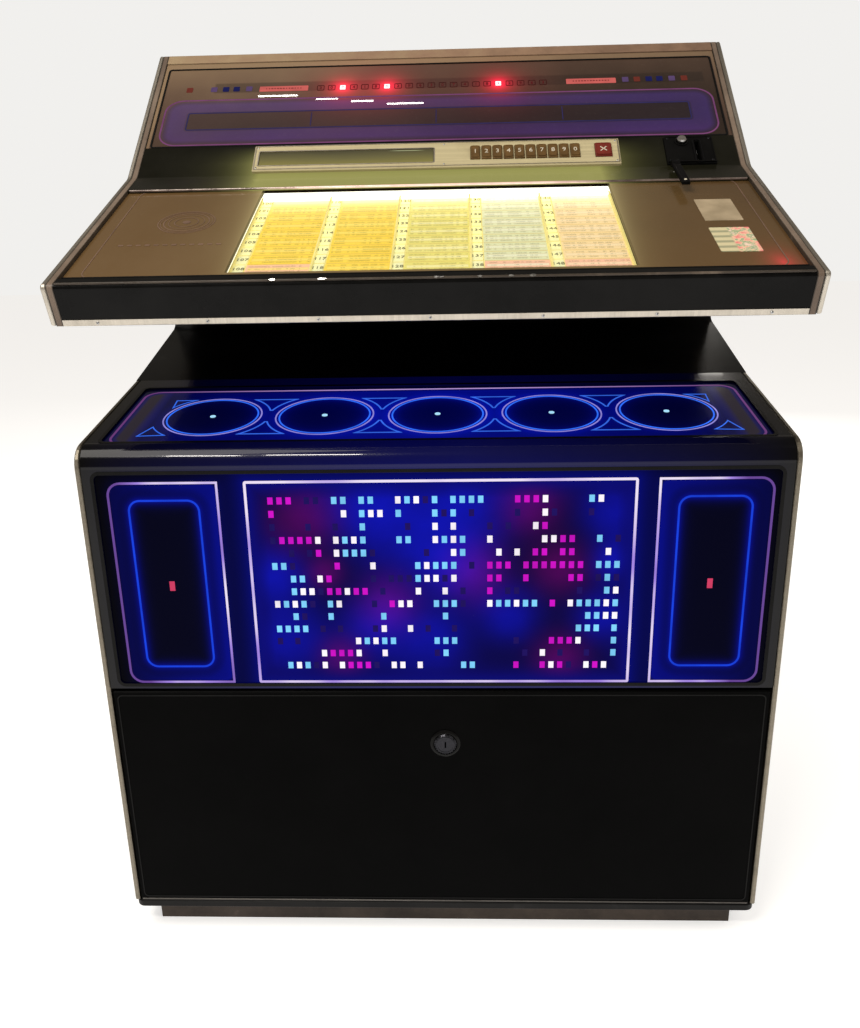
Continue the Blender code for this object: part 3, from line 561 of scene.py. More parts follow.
def make_stage():
    """The pale floor, the world's light and the lamps."""
    maker = bmesh.new()
    bmesh.ops.create_grid(maker, x_segments=1, y_segments=1, size=FLOOR_HALF)
    mesh = bpy.data.meshes.new("floor")
    maker.to_mesh(mesh)
    maker.free()
    ground = placed("floor", mesh)
    pale = Paint("floor_pale", (0.80, 0.80, 0.80), 0.9, specular=0.0)
    pale.emit((1.0, 1.0, 1.0), 0.52)
    mesh.materials.append(pale.material)

    world = bpy.data.worlds.new("studio")
    bpy.context.scene.world = world
    world.use_nodes = True
    tree = world.node_tree
    tree.nodes.clear()
    rays = tree.nodes.new("ShaderNodeLightPath")
    shader = None
    for ray, colour, strength in WORLD:
        light = tree.nodes.new("ShaderNodeBackground")
        feed(tree, light.inputs, (colour, strength))
        if ray:
            blend = tree.nodes.new("ShaderNodeMixShader")
            feed(tree, blend.inputs, (rays.outputs[ray], shader, light.outputs[0]))
            shader = blend.outputs[0]
        else:
            shader = light.outputs[0]
    output = tree.nodes.new("ShaderNodeOutputWorld")
    tree.links.new(shader, output.inputs[0])

    tubes = tuple(((x, y, CEILING), size, TUBE_DEPTH, size * TUBE_POWER) for x, y, size in TUBES)
    for i, (spot, width, depth, power) in enumerate(SOFT_LAMPS + tubes + KNEE_LAMPS):
        lamp = bpy.data.lights.new(f"lamp_{i}", "AREA")
        lamp.shape = "RECTANGLE"
        lamp.size = width
        lamp.size_y = depth
        lamp.energy = power
        lamp.color = LAMP_COLOUR
        holder = placed(f"lamp_{i}", lamp)
        holder.location = spot
        if spot[2] != CEILING:
            holder.rotation_euler = (AIMED_AT - Vector(spot)).to_track_quat("-Z", "Y").to_euler()
    bpy.context.scene.view_settings.view_transform = "Standard"


LENS = 32.11
CAMERA_SPOT = (0.0351, -1.3217, 0.9557)
HEADING, DIP, ROLL = 2.205, 17.936, -1.145  # degrees


def make_camera():
    """Straight in front and a little above the desk, looking down, with a slight tilt of the hand."""
    lens = bpy.data.cameras.new("camera")
    lens.lens = LENS
    holder = placed("camera", lens)
    turns = ((HEADING, "Z"), (90 - DIP, "X"), (ROLL, "Z"))
    heading, pitch, roll = (spin(math.radians(angle), axis) for angle, axis in turns)
    holder.matrix_world = at(*CAMERA_SPOT) @ heading @ pitch @ roll
    bpy.context.scene.camera = holder


# ---------------------------------------------------------------- small hardware
GLYPHS = {}


def glyph(character):
    """The mesh of one digit, about 0.7 high, centred."""
    if character not in GLYPHS:
        curve = bpy.data.curves.new("digit", "FONT")
        curve.body = character
        curve.align_x = "CENTER"
        curve.align_y = "CENTER"
        curve.resolution_u = 2
        curve.extrude = 0.02
        holder = placed("digit", curve)
        graph = bpy.context.evaluated_depsgraph_get()
        GLYPHS[character] = bpy.data.meshes.new_from_object(holder.evaluated_get(graph))
        bpy.data.objects.remove(holder)
    return GLYPHS[character]


def add_digits(maker, text, x, y, size, z, frame, spacing=0.58):
    """Digits in a row, centred on (x, y), lying on a plate's frame at height z."""
    for i, character in enumerate(text):
        known = len(maker.verts)
        maker.from_mesh(glyph(character))
        maker.verts.ensure_lookup_table()
        spot = at(x + (i - (len(text) - 1) / 2) * size * spacing, y, z)
        bmesh.ops.transform(maker, matrix=frame @ spot @ Matrix.Diagonal((size, size, size, 1)),
                            verts=maker.verts[known:])


# A screw's recess is a dark mark: painted shade.
SCREW_PAINTS = ("steel", "gasket")  # the head and its recess


def add_screw(maker, matrix, radius=0.0040, height=0.0014):
    """A raised countersunk head with a cross recess, its axis along Z; the recess is a thin dark cross on the
    head, as painted shade.
    """
    profile = [(0, height), (radius * 0.55, height * 0.94), (radius * 0.88, height * 0.55), (radius, 0),
               (0, 0)]
    add_turned(maker, profile, 20, matrix)
    # Painted shade: the cross recess drawn as two dark bars on the head.
    long, wide = radius * 0.55, radius * 0.11
    for angle in (0.4, 0.4 + QUARTER):
        add_box(maker, (-long, -wide, height), (long, wide, height * 1.06), matrix @ spin(angle, "Z"),
                material=1)


# ---------------------------------------------------------------- front display
PANEL_MID = 0.1338
PANEL_HALF = 0.1330
PANEL_CENTRE_X = 0.0066
PANEL_CENTRE_HALF = 0.2335
PANEL_SIDE_X = (-0.3275, 0.3340)
PANEL_SIDE_HALF = 0.0665
SIDE_CORE_HALF = 0.0430
SIDE_CORE_TALL = 0.1110
CELL_PITCH = (0.0110, 0.01685)
CELL_HALF = (0.0032, 0.0044)
CELL_COLUMNS = 39
CELL_ROWS = 14
CELL_LEFT = PANEL_CENTRE_X - 0.2040
CELL_LOW = PANEL_MID - (CELL_ROWS - 1) / 2 * CELL_PITCH[1]
DOTTED_ROWS = (13, 10, 8, 5, 0)
INK = 0.0004

# The coloured lamps behind the glass: place on it, reach, blue or red.
DISPLAY_LAMPS = (
    (-0.080, 0.235, 0.060, 0), (-0.025, 0.200, 0.075, 0), (0.040, 0.235, 0.060, 0), (0.025, 0.160, 0.055, 0),
    (0.210, 0.225, 0.040, 0), (0.215, 0.165, 0.030, 0), (-0.195, 0.145, 0.045, 0), (-0.185, 0.065, 0.055, 0),
    (-0.075, 0.080, 0.055, 0), (-0.005, 0.060, 0.055, 0), (0.090, 0.095, 0.045, 0), (0.205, 0.090, 0.040, 0),
    (-0.160, 0.220, 0.045, 1), (0.115, 0.235, 0.040, 1), (0.050, 0.150, 0.042, 1), (-0.060, 0.110, 0.040, 1),
    (0.150, 0.155, 0.038, 1), (0.155, 0.035, 0.036, 1), (-0.120, 0.035, 0.030, 1), (-0.135, 0.150, 0.024, 1))


def paint_front_glass():
    """Black glass with blue and red light behind it, strongest round the printed lines."""
    paint = Paint("display_glass", (0.0004, 0.0004, 0.001), 0.12, specular=0.02)
    x, y, _ = paint.place(FACE)
    across = (x - sum(PANEL_SIDE_X) / 2).abs()
    side_middle = ((PANEL_SIDE_X[1] - PANEL_SIDE_X[0]) / 2, PANEL_MID)
    side = paint.box_distance(across, y, side_middle, (PANEL_SIDE_HALF, PANEL_HALF), 0.010)
    core = paint.box_distance(across, y, side_middle, (SIDE_CORE_HALF, SIDE_CORE_TALL), 0.014)
    line = paint.box_distance(x, y, (PANEL_CENTRE_X, PANEL_MID), (PANEL_CENTRE_HALF, PANEL_HALF), 0.002)
    cloud = paint.noise(11, 3, (1.0, 1.0, 1.3), 0.55) + 0.5
    blue, red = paint.lamps(x, y, DISPLAY_LAMPS)
    inside = (line * -150.0).clamp()
    fade = (line * -45.0).clamp()
    blue = blue * cloud * fade * 0.26 + inside * 0.030
    red = red * cloud * fade * 0.060 + inside * 0.0016
    in_side = (side * -300.0).clamp()
    near = (x.abs() * -6.0 + 2.55).clamp()
    blue = blue + line.glow(0.015) * 0.17 + side.glow(0.008) * near * 0.06
    blue = blue + in_side * (core.glow(0.0035) * 0.30 + 0.008 + (core * 60.0).clamp() * (near * 0.16 + 0.006))
    paint.emit(paint.colour((red + blue * 0.003).min(1.0), blue * 0.012, (blue + red * 0.8).min(1.0)), 1.0)
    return paint


def nearest_lamp(x, y):
    """Blue or red: the lamp whose light is strongest at a place on the glass."""
    def strength(lamp):
        return lamp[2] * (1.2 if lamp[3] else 1.0) - math.dist((x, y), lamp[:2])
    return max(DISPLAY_LAMPS, key=strength)[3]


def lit_cells():
    """Which windows are lit: seeded runs that turn corners round each lamp, and dotted rows between."""
    cells = set()
    for lamp_x, lamp_y, _, _ in DISPLAY_LAMPS:
        for _ in range(2):
            column = round((lamp_x - CELL_LEFT) / CELL_PITCH[0]) + RNG.randrange(-3, 3)
            row = round((lamp_y - CELL_LOW) / CELL_PITCH[1]) + RNG.randrange(-1, 2)
            step = RNG.choice(((1, 0), (-1, 0), (0, 1), (0, -1)))
            for length in (4, RNG.choice((2, 3))):
                for _ in range(length):
                    if RNG.random() < 0.80:
                        cells.add((column, row))
                    column, row = column + step[0], row + step[1]
                step = (step[1], step[0]) if RNG.random() < 0.5 else (-step[1], -step[0])
    for row in DOTTED_ROWS:
        column = RNG.randrange(3)
        while column < CELL_COLUMNS:
            run = RNG.choice((1, 1, 2, 3, 4))
            cells.update((column + i, row) for i in range(run))
            column += run + RNG.choice((2, 3, 4, 5))
    return {cell for cell in cells if 0 <= cell[0] < CELL_COLUMNS and 0 <= cell[1] < CELL_ROWS}


def add_mark(maker, x, y, half, high):
    """A small rectangle printed on the front glass."""
    add_box(maker, (x - half[0], y - half[1], 0), (x + half[0], y + half[1], high), FACE)


def side_outline(sign, middle):
    """The side panel's printed border: square corners towards the middle, round ones outside."""
    result = []
    for x, y in rounded(2 * PANEL_SIDE_HALF, 2 * PANEL_HALF, 0.016, 8, (0, PANEL_MID)):
        if x < 0:
            corner = (-PANEL_SIDE_HALF, PANEL_MID + math.copysign(PANEL_HALF, y - PANEL_MID))
            if corner not in result:
                result.append(corner)
        else:
            result.append((x, y))
    outline = [(sign * x + middle, y) for x, y in result]
    return outline if sign > 0 else outline[::-1]


LINE_THICK = {"frame": 0.0032, "side": 0.0028, "core": 0.0024}
DOT_HALF = (0.0032, 0.0062)
CELL_LOOKS = {"white": ((1.0, 0.93, 1.0), 1.0), "magenta": ((0.64, 0.004, 0.58), 0.95),
              "cyan": ((0.22, 0.66, 1.0), 0.95), "violet": ((0.013, 0.004, 0.12), 0.9)}
VIOLET_CHANCE = 0.16


def make_front_display():
    """The lit glass with its frame lines, its side panels and the windows of its cells."""
    dress("front_glass", paint_front_glass())
    maker = bmesh.new()
    outline = rounded(2 * PANEL_CENTRE_HALF, 2 * PANEL_HALF, 0.0015, 2, (PANEL_CENTRE_X, PANEL_MID))
    add_ribbon(maker, outline, LINE_THICK["frame"], 0, INK, FACE)
    piece("display_frame_line", maker, line_paint("line_white", 0.0, 0.6), "cabinet")
    maker = bmesh.new()
    cores = bmesh.new()
    dots = bmesh.new()
    for sign, x in zip((-1, 1), PANEL_SIDE_X):
        add_ribbon(maker, side_outline(sign, x), LINE_THICK["side"], 0, INK, FACE)
        core = rounded(2 * SIDE_CORE_HALF, 2 * SIDE_CORE_TALL, 0.014, 8, (x, PANEL_MID))
        add_ribbon(cores, core, LINE_THICK["core"], 0, INK, FACE)
        add_mark(dots, x, PANEL_MID, DOT_HALF, INK * 2)
    piece("side_panel_lines", maker, line_paint("line_lavender", 0.08, 0.4), "cabinet")
    piece("side_panel_cores", cores, lit("line_blue", (0.010, 0.070, 1.0), 0.70), "cabinet")
    piece("side_panel_dots", dots, lit("dot_pink", (0.80, 0.06, 0.16), 0.8), "cabinet")

    makers = {name: bmesh.new() for name in CELL_LOOKS}
    lit_ones = lit_cells()
    for row in range(CELL_ROWS):
        for column in range(CELL_COLUMNS):
            x = CELL_LEFT + column * CELL_PITCH[0]
            y = CELL_LOW + row * CELL_PITCH[1]
            if (column, row) in lit_ones:
                own = "magenta" if nearest_lamp(x, y) else "cyan"
                name = RNG.choices(("white", own), (3, 6))[0]
            elif RNG.random() < VIOLET_CHANCE:
                name = "violet"
            else:
                continue
            add_mark(makers[name], x, y, CELL_HALF, INK)
    for name, look in CELL_LOOKS.items():
        piece(f"display_cells_{name}", makers[name], lit(f"cell_{name}", *look), "cabinet")


def line_paint(name, lavender, sink):
    """A printed line on the front glass: whitest at the top and middle, lavender lower down and outside."""
    paint = Paint(name, (0.02, 0.015, 0.03), 0.4, specular=0.05)
    x, y, _ = paint.place(FACE)
    patches = paint.noise(9, 2)
    outside = (x.abs() - 0.335).max(0.0) * 10.0
    tint = paint.ramp(patches + lavender - 0.12 + (y * -1.0 + 0.27) * sink + outside,
                      (0.38, (0.92, 0.82, 1.0)),
                      (0.62, (0.38, 0.24, 0.80)), (0.88, (0.13, 0.05, 0.30)))
    paint.emit(tint, 0.90)
    return paint


# ---------------------------------------------------------------- shelf
RINGS = 5
RING_PITCH = 0.1449
RING_RADIUS = 0.0625
RING_X = 0.003
RING_ROW = 0.0825
RING_SIDES = 72
BORDER_HALF = (0.3975, 0.0885)
BORDER_CENTRE = (0, RING_ROW + 0.003)
# How far a wedge's nearer and further ends are from the row of rings, and its gap to a ring's middle.
WEDGE_TIP, WEDGE_BASE = 0.0195, 0.0585
WEDGE_REACH = RING_RADIUS + 0.0112
WEDGE_NARROWEST = 0.0012
# The wedges in the shelf's corners: first and last angle of their curved side, its radius, their corner.
END_WEDGES = ((59, 28, 0.0690, (0.0625, 0.0585)), (-52, -26, 0.0760, (0.0800, -0.0620)))


def paint_shelf_glass():
    """Dark glass with blue light behind the rings, fading to the ends, where no lamp lights it and a hazy
    grey-violet is painted as the room's reflection.
    """
    paint = Paint("shelf_glass_print", (0.0008, 0.0008, 0.002), 0.10, specular=0.06)
    x, y, _ = paint.place(SHELF)
    nearest = (x + (RING_PITCH * 5.5 - RING_X)).wrap(RING_PITCH) - RING_PITCH / 2
    ring = (nearest * nearest + (y - RING_ROW) * (y - RING_ROW)).root() - RING_RADIUS
    border = paint.box_distance(x, y, BORDER_CENTRE, BORDER_HALF, 0.020)
    inside = (border * -120.0).clamp()
    within = x.abs().under(RING_PITCH * 2.6, 60.0)
    centre = (x.abs() * -3.0 + 1.25).clamp()
    cloud = paint.noise(6, 3)
    outside = (ring * 120.0).clamp()
    blue = ring.glow(0.006) * 0.34 + outside * 0.13 * (cloud + 0.5) + 0.034 + ring.glow(0.030) * 0.04
    blue = inside * within * blue * centre + inside * 0.008
    # Painted reflection: grey-violet light on the unlit ends.
    painted_reflection_haze = inside * (within * -1.0 + 1.0)
    tint = paint.mix(painted_reflection_haze, (0.004, 0.016, 1.0), (0.10, 0.075, 0.12))
    paint.emit(tint, blue + painted_reflection_haze * 0.18 + border.glow(0.006) * 0.05)
    return paint


def wedge(x, sign):
    """A concave triangle above (1) or below (-1) the gap between two rings, its sides following them."""
    outline = []
    for side in (-1, 1):
        arc = []
        for i in range(11):
            rise = WEDGE_TIP + (WEDGE_BASE - WEDGE_TIP) * i / 10
            gap = RING_PITCH / 2 - math.sqrt(max(0.0, WEDGE_REACH ** 2 - rise ** 2))
            arc.append((x + side * max(WEDGE_NARROWEST, gap), RING_ROW + sign * rise))
        outline += arc[::-1] if side < 0 else arc
    return outline


def end_wedge(sign, start, stop, reach, corner):
    """The outline of a wedge in one corner of the shelf, beside the last ring."""
    x = RING_X + sign * RING_PITCH * 2
    angles = [math.radians(start + (stop - start) * i / 6) for i in range(7)]
    outline = [(x + sign * reach * math.cos(a), RING_ROW + reach * math.sin(a)) for a in angles]
    return outline + [(x + sign * corner[0], RING_ROW + corner[1])]


def make_shelf():
    """The rings, dots and wedges printed on the lit shelf."""
    dress("shelf_glass", paint_shelf_glass())
    border = Paint("shelf_border", (0.002, 0.002, 0.002), 0.5, specular=0.02)
    x, y, _ = border.place(SHELF)
    bright = (x.abs() * -3.2 + 1.25).clamp() * y.over(0.02, 8.0)
    border.emit(border.mix(bright, (0.20, 0.06, 0.25), (0.66, 0.42, 0.90)), 0.7)
    paints = {"border": border, "outer": lit("ring_violet", (0.42, 0.36, 1.0), 0.68),
              "inner": lit("ring_blue", (0.030, 0.16, 1.0), 1.0),
              "dots": lit("ring_dot", (0.40, 0.75, 1.0), 1.0),
              "wedges": lit("wedge_blue", (0.045, 0.18, 1.0), 0.78)}
    makers = {name: bmesh.new() for name in paints}
    outline = rounded(2 * BORDER_HALF[0], 2 * BORDER_HALF[1], 0.020, 8, BORDER_CENTRE)
    add_ribbon(makers["border"], outline, 0.0028, 0, INK, SHELF)
    for i in range(RINGS):
        spot = (RING_X + (i - (RINGS - 1) / 2) * RING_PITCH, RING_ROW)
        add_ribbon(makers["outer"], circle(RING_RADIUS, RING_SIDES, spot), 0.0018, 0, INK, SHELF)
        add_ribbon(makers["inner"], circle(RING_RADIUS - 0.0045, RING_SIDES, spot), 0.0020, 0, INK, SHELF)
        add_slab(makers["dots"], circle(0.0036, 16, spot), 0, INK * 2, SHELF)
    for i in range(RINGS - 1):
        for sign in (1, -1):
            outline = wedge(RING_X + (i - (RINGS - 2) / 2) * RING_PITCH, sign)
            add_ribbon(makers["wedges"], outline, 0.0020, 0, INK, SHELF)
    for sign in (-1, 1):
        for look in END_WEDGES:
            add_ribbon(makers["wedges"], end_wedge(sign, *look), 0.0016, 0, INK, SHELF)
    for name, maker in makers.items():
        piece(f"shelf_{name}", maker, paints[name], "cabinet")


# ---------------------------------------------------------------- title desk
TITLE_COLUMNS = 5
TITLE_ROWS = 10
TITLE_PITCH = (0.0926, 0.0262)
TITLE_HALF = 0.2325
TITLE_LOW = 0.0180
TITLE_HIGH = 0.2965
ROW_MIDDLE = TITLE_PITCH[1] / 2
WINDOW_CENTRE = (0, (TITLE_LOW + TITLE_HIGH) / 2)
WINDOW_HALF = (TITLE_HALF, (TITLE_HIGH - TITLE_LOW) / 2)
CARD_WIDE, CARD_TALL = (-0.0380, 0.0375), 0.0123
TAB_SPAN = (0.0008, 0.0150)
FIRST_TITLE = 100
# The cards and their middle bands, from the left column to the right.
CARD_COLOURS = ((1.0, 0.72, 0.085), (1.0, 0.72, 0.085), (0.87, 0.79, 0.215), (0.79, 0.81, 0.47),
                (1.0, 0.76, 0.38))
BAND_COLOURS = ((1.0, 0.80, 0.20), (1.0, 0.82, 0.18), (1.0, 0.95, 0.50), (0.92, 0.92, 0.66),
                (1.0, 0.82, 0.52))
LAMP_WHITE = (1.0, 0.98, 0.86)
LAMP_PLASTIC = (0.8, 0.8, 0.7)


def paint_desk_glass():
    """Smoked glass, clear over the titles, printed dark on its margins and warm where light leaks in, with a
    painted reflection, a painted shadow under the lip and a painted red glow.
    """
    paint = Paint("desk_smoked_glass", roughness=0.12, specular=0.22)
    x, y, _ = paint.place(DESK)
    window = paint.box_distance(x, y, WINDOW_CENTRE, WINDOW_HALF, 0.0015)
    smear = paint.noise(4, 4, (1, 0.6, 1), 0.6)
    dust = paint.noise(140, 4, rough=0.75)
    # Painted reflection: the brown tone, paler to the left and towards the front; dust is mixed over it.
    tone = paint.ramp(smear * 0.5 - x * 0.25 - y * 0.5 + 0.35, (0.28, (0.066, 0.037, 0.014)),
                      (0.58, (0.110, 0.062, 0.023)), (0.80, (0.140, 0.087, 0.040)))
    dust_and_reflection = paint.mix((dust - 0.55).clamp() * 0.35, tone, (0.22, 0.19, 0.15))
    paint.set("Roughness", smear * 0.14 + dust * 0.06 + 0.03)
    clear = (window * -900.0).clamp()
    paint.set("Alpha", clear * -0.95 + 1.0)
    printed = clear * -1.0 + 1.0
    off = window.max(0.0)
    leak = (off.glow(0.010) * 0.10 + off.glow(0.040) * 0.050) * printed * (y * 4.0 + 0.45)
    # Painted shadow: a dark band along the back edge, under the control panel's lip.
    back = ((y - 0.2860 + (x.abs() - 0.28).max(0.0) * 0.05) * 400.0).clamp() * printed
    paint.set("Base Color", paint.mix(back, dust_and_reflection, (0.004, 0.003, 0.003)))
    # Painted light: a small red glow near the right front corner.
    dx = x - 0.3900
    dy = (y - 0.0200) * 0.6
    red = (dx * dx + dy * dy).root().glow(0.0100)
    leak = leak * (back * -0.8 + 1.0)
    paint.emit(paint.colour(leak + red * 0.50, leak * 0.88, leak * 0.40 + red * 0.03), 1.0)
    return paint


def lamp_light(y):
    """How the title lamp's light falls off down the rack."""
    return ((y * -1.0 + 0.262) * -38.0).math("EXPONENT")


def paint_titles():
    """Title strips: coloured card with printed borders, a middle band and rows of words too small to read."""
    paint = Paint("title_card", roughness=0.55, specular=0.2)
    x, y, _ = paint.place(RACK)
    across = x + TITLE_HALF
    column = (across / TITLE_PITCH[0]).math("FLOOR")
    row = (y / TITLE_PITCH[1]).math("FLOOR")
    u = across - column * TITLE_PITCH[0]
    v = y - row * TITLE_PITCH[1]
    seed = column * 7.31 + row * 3.77
    words = paint.noise(1.0, 1, where=paint.vector(u * 160.0 + seed * 5.0, seed))
    letters = paint.noise(1.0, 2, where=paint.vector(u * 900.0 + seed * 9.0, v * 900.0))
    off_middle = (v - ROW_MIDDLE).abs()
    lines = ((v - 0.0202).abs() * -1.0 + 0.0021).max((v - 0.0062).abs() * -1.0 + 0.0021)
    songs = (lines * 3000.0).clamp() * words.over(0.44, 14.0)
    artist = off_middle.under(0.0016, 3000.0) * words.over(0.50, 14.0)
    text = (songs + artist) * letters.over(0.42, 6.0)
    inset = ((u - 0.0190) * 2000.0).min((u * -1.0 + 0.0905) * 2000.0).clamp()
    band = off_middle.under(0.0036, 2000.0) * inset
    rule = (off_middle - 0.0040).abs().under(0.0005, 3000.0) * inset
    edge = off_middle.over(0.0116, 2000.0)
    card = paint.steps(column, CARD_COLOURS)
    pale = paint.steps(column, BAND_COLOURS)
    odd = paint.noise(3.0, 0, where=paint.vector(column * 0.2 + 0.1, row * 0.31))
    low_rows = (row * -2.0 + 3.0).clamp()
    pink = low_rows * ((column - 1.5).abs() * 3.0 - 3.0).clamp()
    card = paint.mix(pink, card, (1.0, 0.58, 0.38))
    base = paint.mix(band * 0.6 + (odd - 0.5).clamp() * 0.8, card, pale)
    base = paint.mix(((rule + edge * 0.6) * 0.45).clamp(), base, (0.55, 0.22, 0.06))
    base = paint.mix((text * inset * 0.60).clamp(), base, (0.16, 0.12, 0.04))
    lamp = lamp_light(y)
    side = paint.noise(4, 2) * 0.25 + 0.70
    paint.set("Base Color", paint.mix(0.6, base, BLACK))
    paint.emit(paint.mix((lamp * 0.9).clamp(), base, (1.0, 0.95, 0.62)), side * (lamp * 1.3 + 0.78))
    paint.bump(paint.noise(1500, 2), 0.0001, 0.3)
    return paint


def make_titles():
    """Fifty title cards with their numbered tabs, and the light at the rack's left and top edges."""
    strips, tabs, digits, edge, bar = (bmesh.new() for _ in range(5))
    for column in range(TITLE_COLUMNS):
        left = -TITLE_HALF + column * TITLE_PITCH[0]
        for row in range(TITLE_ROWS):
            low = row * TITLE_PITCH[1]
            middle = low + ROW_MIDDLE
            nudge = RNG.uniform(-0.0003, 0.0003)
            lean = RACK @ at(left + 0.0545, middle, 0.0003) @ spin(RNG.uniform(-0.004, 0.004), "Z")
            add_box(strips, (CARD_WIDE[0] + nudge, -CARD_TALL, 0), (CARD_WIDE[1] + nudge, CARD_TALL, 0.0005),
                    lean,
                    0.0002, 1)
            add_box(tabs, (left + TAB_SPAN[0], low + 0.0012, 0.0004),
                    (left + TAB_SPAN[1], low + 0.0250, 0.0012),
                    RACK, 0.0004, 1)
            number = FIRST_TITLE + column * TITLE_ROWS + TITLE_ROWS - 1 - row
            add_digits(digits, str(number), left + 0.0082, middle, 0.0098, 0.0014, RACK, 0.52)
    piece("title_strips", strips, paint_titles(), "lid")
    tab = Paint("number_tab", (0.75, 0.65, 0.20), 0.5, specular=0.2)
    _, y, _ = tab.place(RACK)
    shade = tab.noise(60, 3)
    # Painted lamp light: the tabs grow paler and yellower up the rack, towards the title lamp.
    tint = tab.ramp(shade * 0.5 + y * 2.2, (0.25, (0.60, 0.62, 0.38)), (0.55, (0.82, 0.78, 0.34)),
                    (0.85, (0.98, 0.90, 0.36)))
    tab.set("Base Color", tint)
    tab.emit(tint, lamp_light(y) * 1.2 + 0.45)
    piece("number_tabs", tabs, tab, "lid")
    ink = lit("number_ink", (0.30, 0.28, 0.14), 0.55, (0.06, 0.06, 0.04))
    piece("tab_numbers", digits, ink, "lid")
    add_box(edge, (-TITLE_HALF - 0.0045, 0, 0.0010), (-TITLE_HALF - 0.0006, RACK_LENGTH, 0.0052), RACK,
            0.0008)
    piece("title_edge_light", edge, lit("edge_glow", LAMP_WHITE, 1.1, LAMP_PLASTIC), "lid")
    add_box(bar, (-TITLE_HALF - 0.0010, RACK_LENGTH - 0.0045, 0.0008),
            (TITLE_HALF + 0.0010, RACK_LENGTH + 0.0200, 0.0040), RACK, 0.0006)
    piece("title_top_light", bar, lit("top_glow", LAMP_WHITE, 1.7, LAMP_PLASTIC), "lid")


EMBLEM_CENTRE = (-0.3104, 0.172)
EMBLEM_RINGS = ((0.0355, 0.0012), (0.0325, 0.0008), (0.0285, 0.0014), (0.0225, 0.0008), (0.0150, 0.0012))
CARD_THICK = 0.0006


def make_desk_prints():
    """The printing on the desk glass, and the two small cards stuck on it."""
    glass_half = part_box("desk_glass")[1][0] - 0.019
    border = bmesh.new()
    outline = rounded(2 * glass_half, DESK_LENGTH - 0.027, 0.018, 8, (0, DESK_LENGTH / 2 - 0.006))
    add_ribbon(border, outline, 0.0014, 0, INK, DESK)
    piece("desk_border_line", border, "tan_print", "lid")
    emblem = bmesh.new()
    for radius, width in EMBLEM_RINGS:
        add_ribbon(emblem, circle(radius, 64, EMBLEM_CENTRE), width, 0, INK, DESK)
    add_slab(emblem, circle(0.0052, 32, EMBLEM_CENTRE), 0, INK, DESK)
    for i in range(12):
        x = -0.3740 + i * 0.0108
        tall = 0.0030 if i % 3 else 0.0042
        add_slab(emblem, rounded(0.0062, tall, 0.0010, 3, (x, 0.1005)), 0, INK, DESK)
    piece("ring_emblem", emblem, "tan_print", "lid")
    card = bmesh.new()
    add_slab(card, rounded(0.046, 0.071, 0.0015, 3, (0.3530, 0.1785)), 0, CARD_THICK, DESK)
    plain = Paint("plain_card", roughness=0.5, specular=0.25)
    plain.place(DESK)
    plain.set("Base Color",
              plain.ramp(plain.noise(30, 5), (0.3, (0.27, 0.21, 0.13)), (0.7, (0.43, 0.34, 0.22))))
    plain.bump(plain.noise(60, 3), 0.0006, 0.4)
    piece("card_plain", card, plain, "lid")
    card = bmesh.new()
    add_slab(card, rounded(0.047, 0.071, 0.0015, 3, (0.3525, 0.0855)), 0, CARD_THICK, DESK)
    bright = Paint("bright_card", roughness=0.35, specular=0.35)
    x, y, _ = bright.place(DESK)
    swirl = bright.noise(70, 4, rough=0.7)
    colours = bright.ramp(swirl * 1.7 - 0.36, (0.30, (0.80, 0.22, 0.20)), (0.42, (0.85, 0.46, 0.34)),
                          (0.48, (0.80, 0.62, 0.40)), (0.56, (0.16, 0.34, 0.16)), (0.70, (0.85, 0.62, 0.50)))
    stripes = bright.mix((y * 420.0).math("SINE").over(0.1, 3.0), (0.62, 0.55, 0.33), (0.34, 0.33, 0.20))
    bright.set("Base Color", bright.mix(x.under(0.3510, 400.0), colours, stripes))
    piece("card_bright", card, bright, "lid")


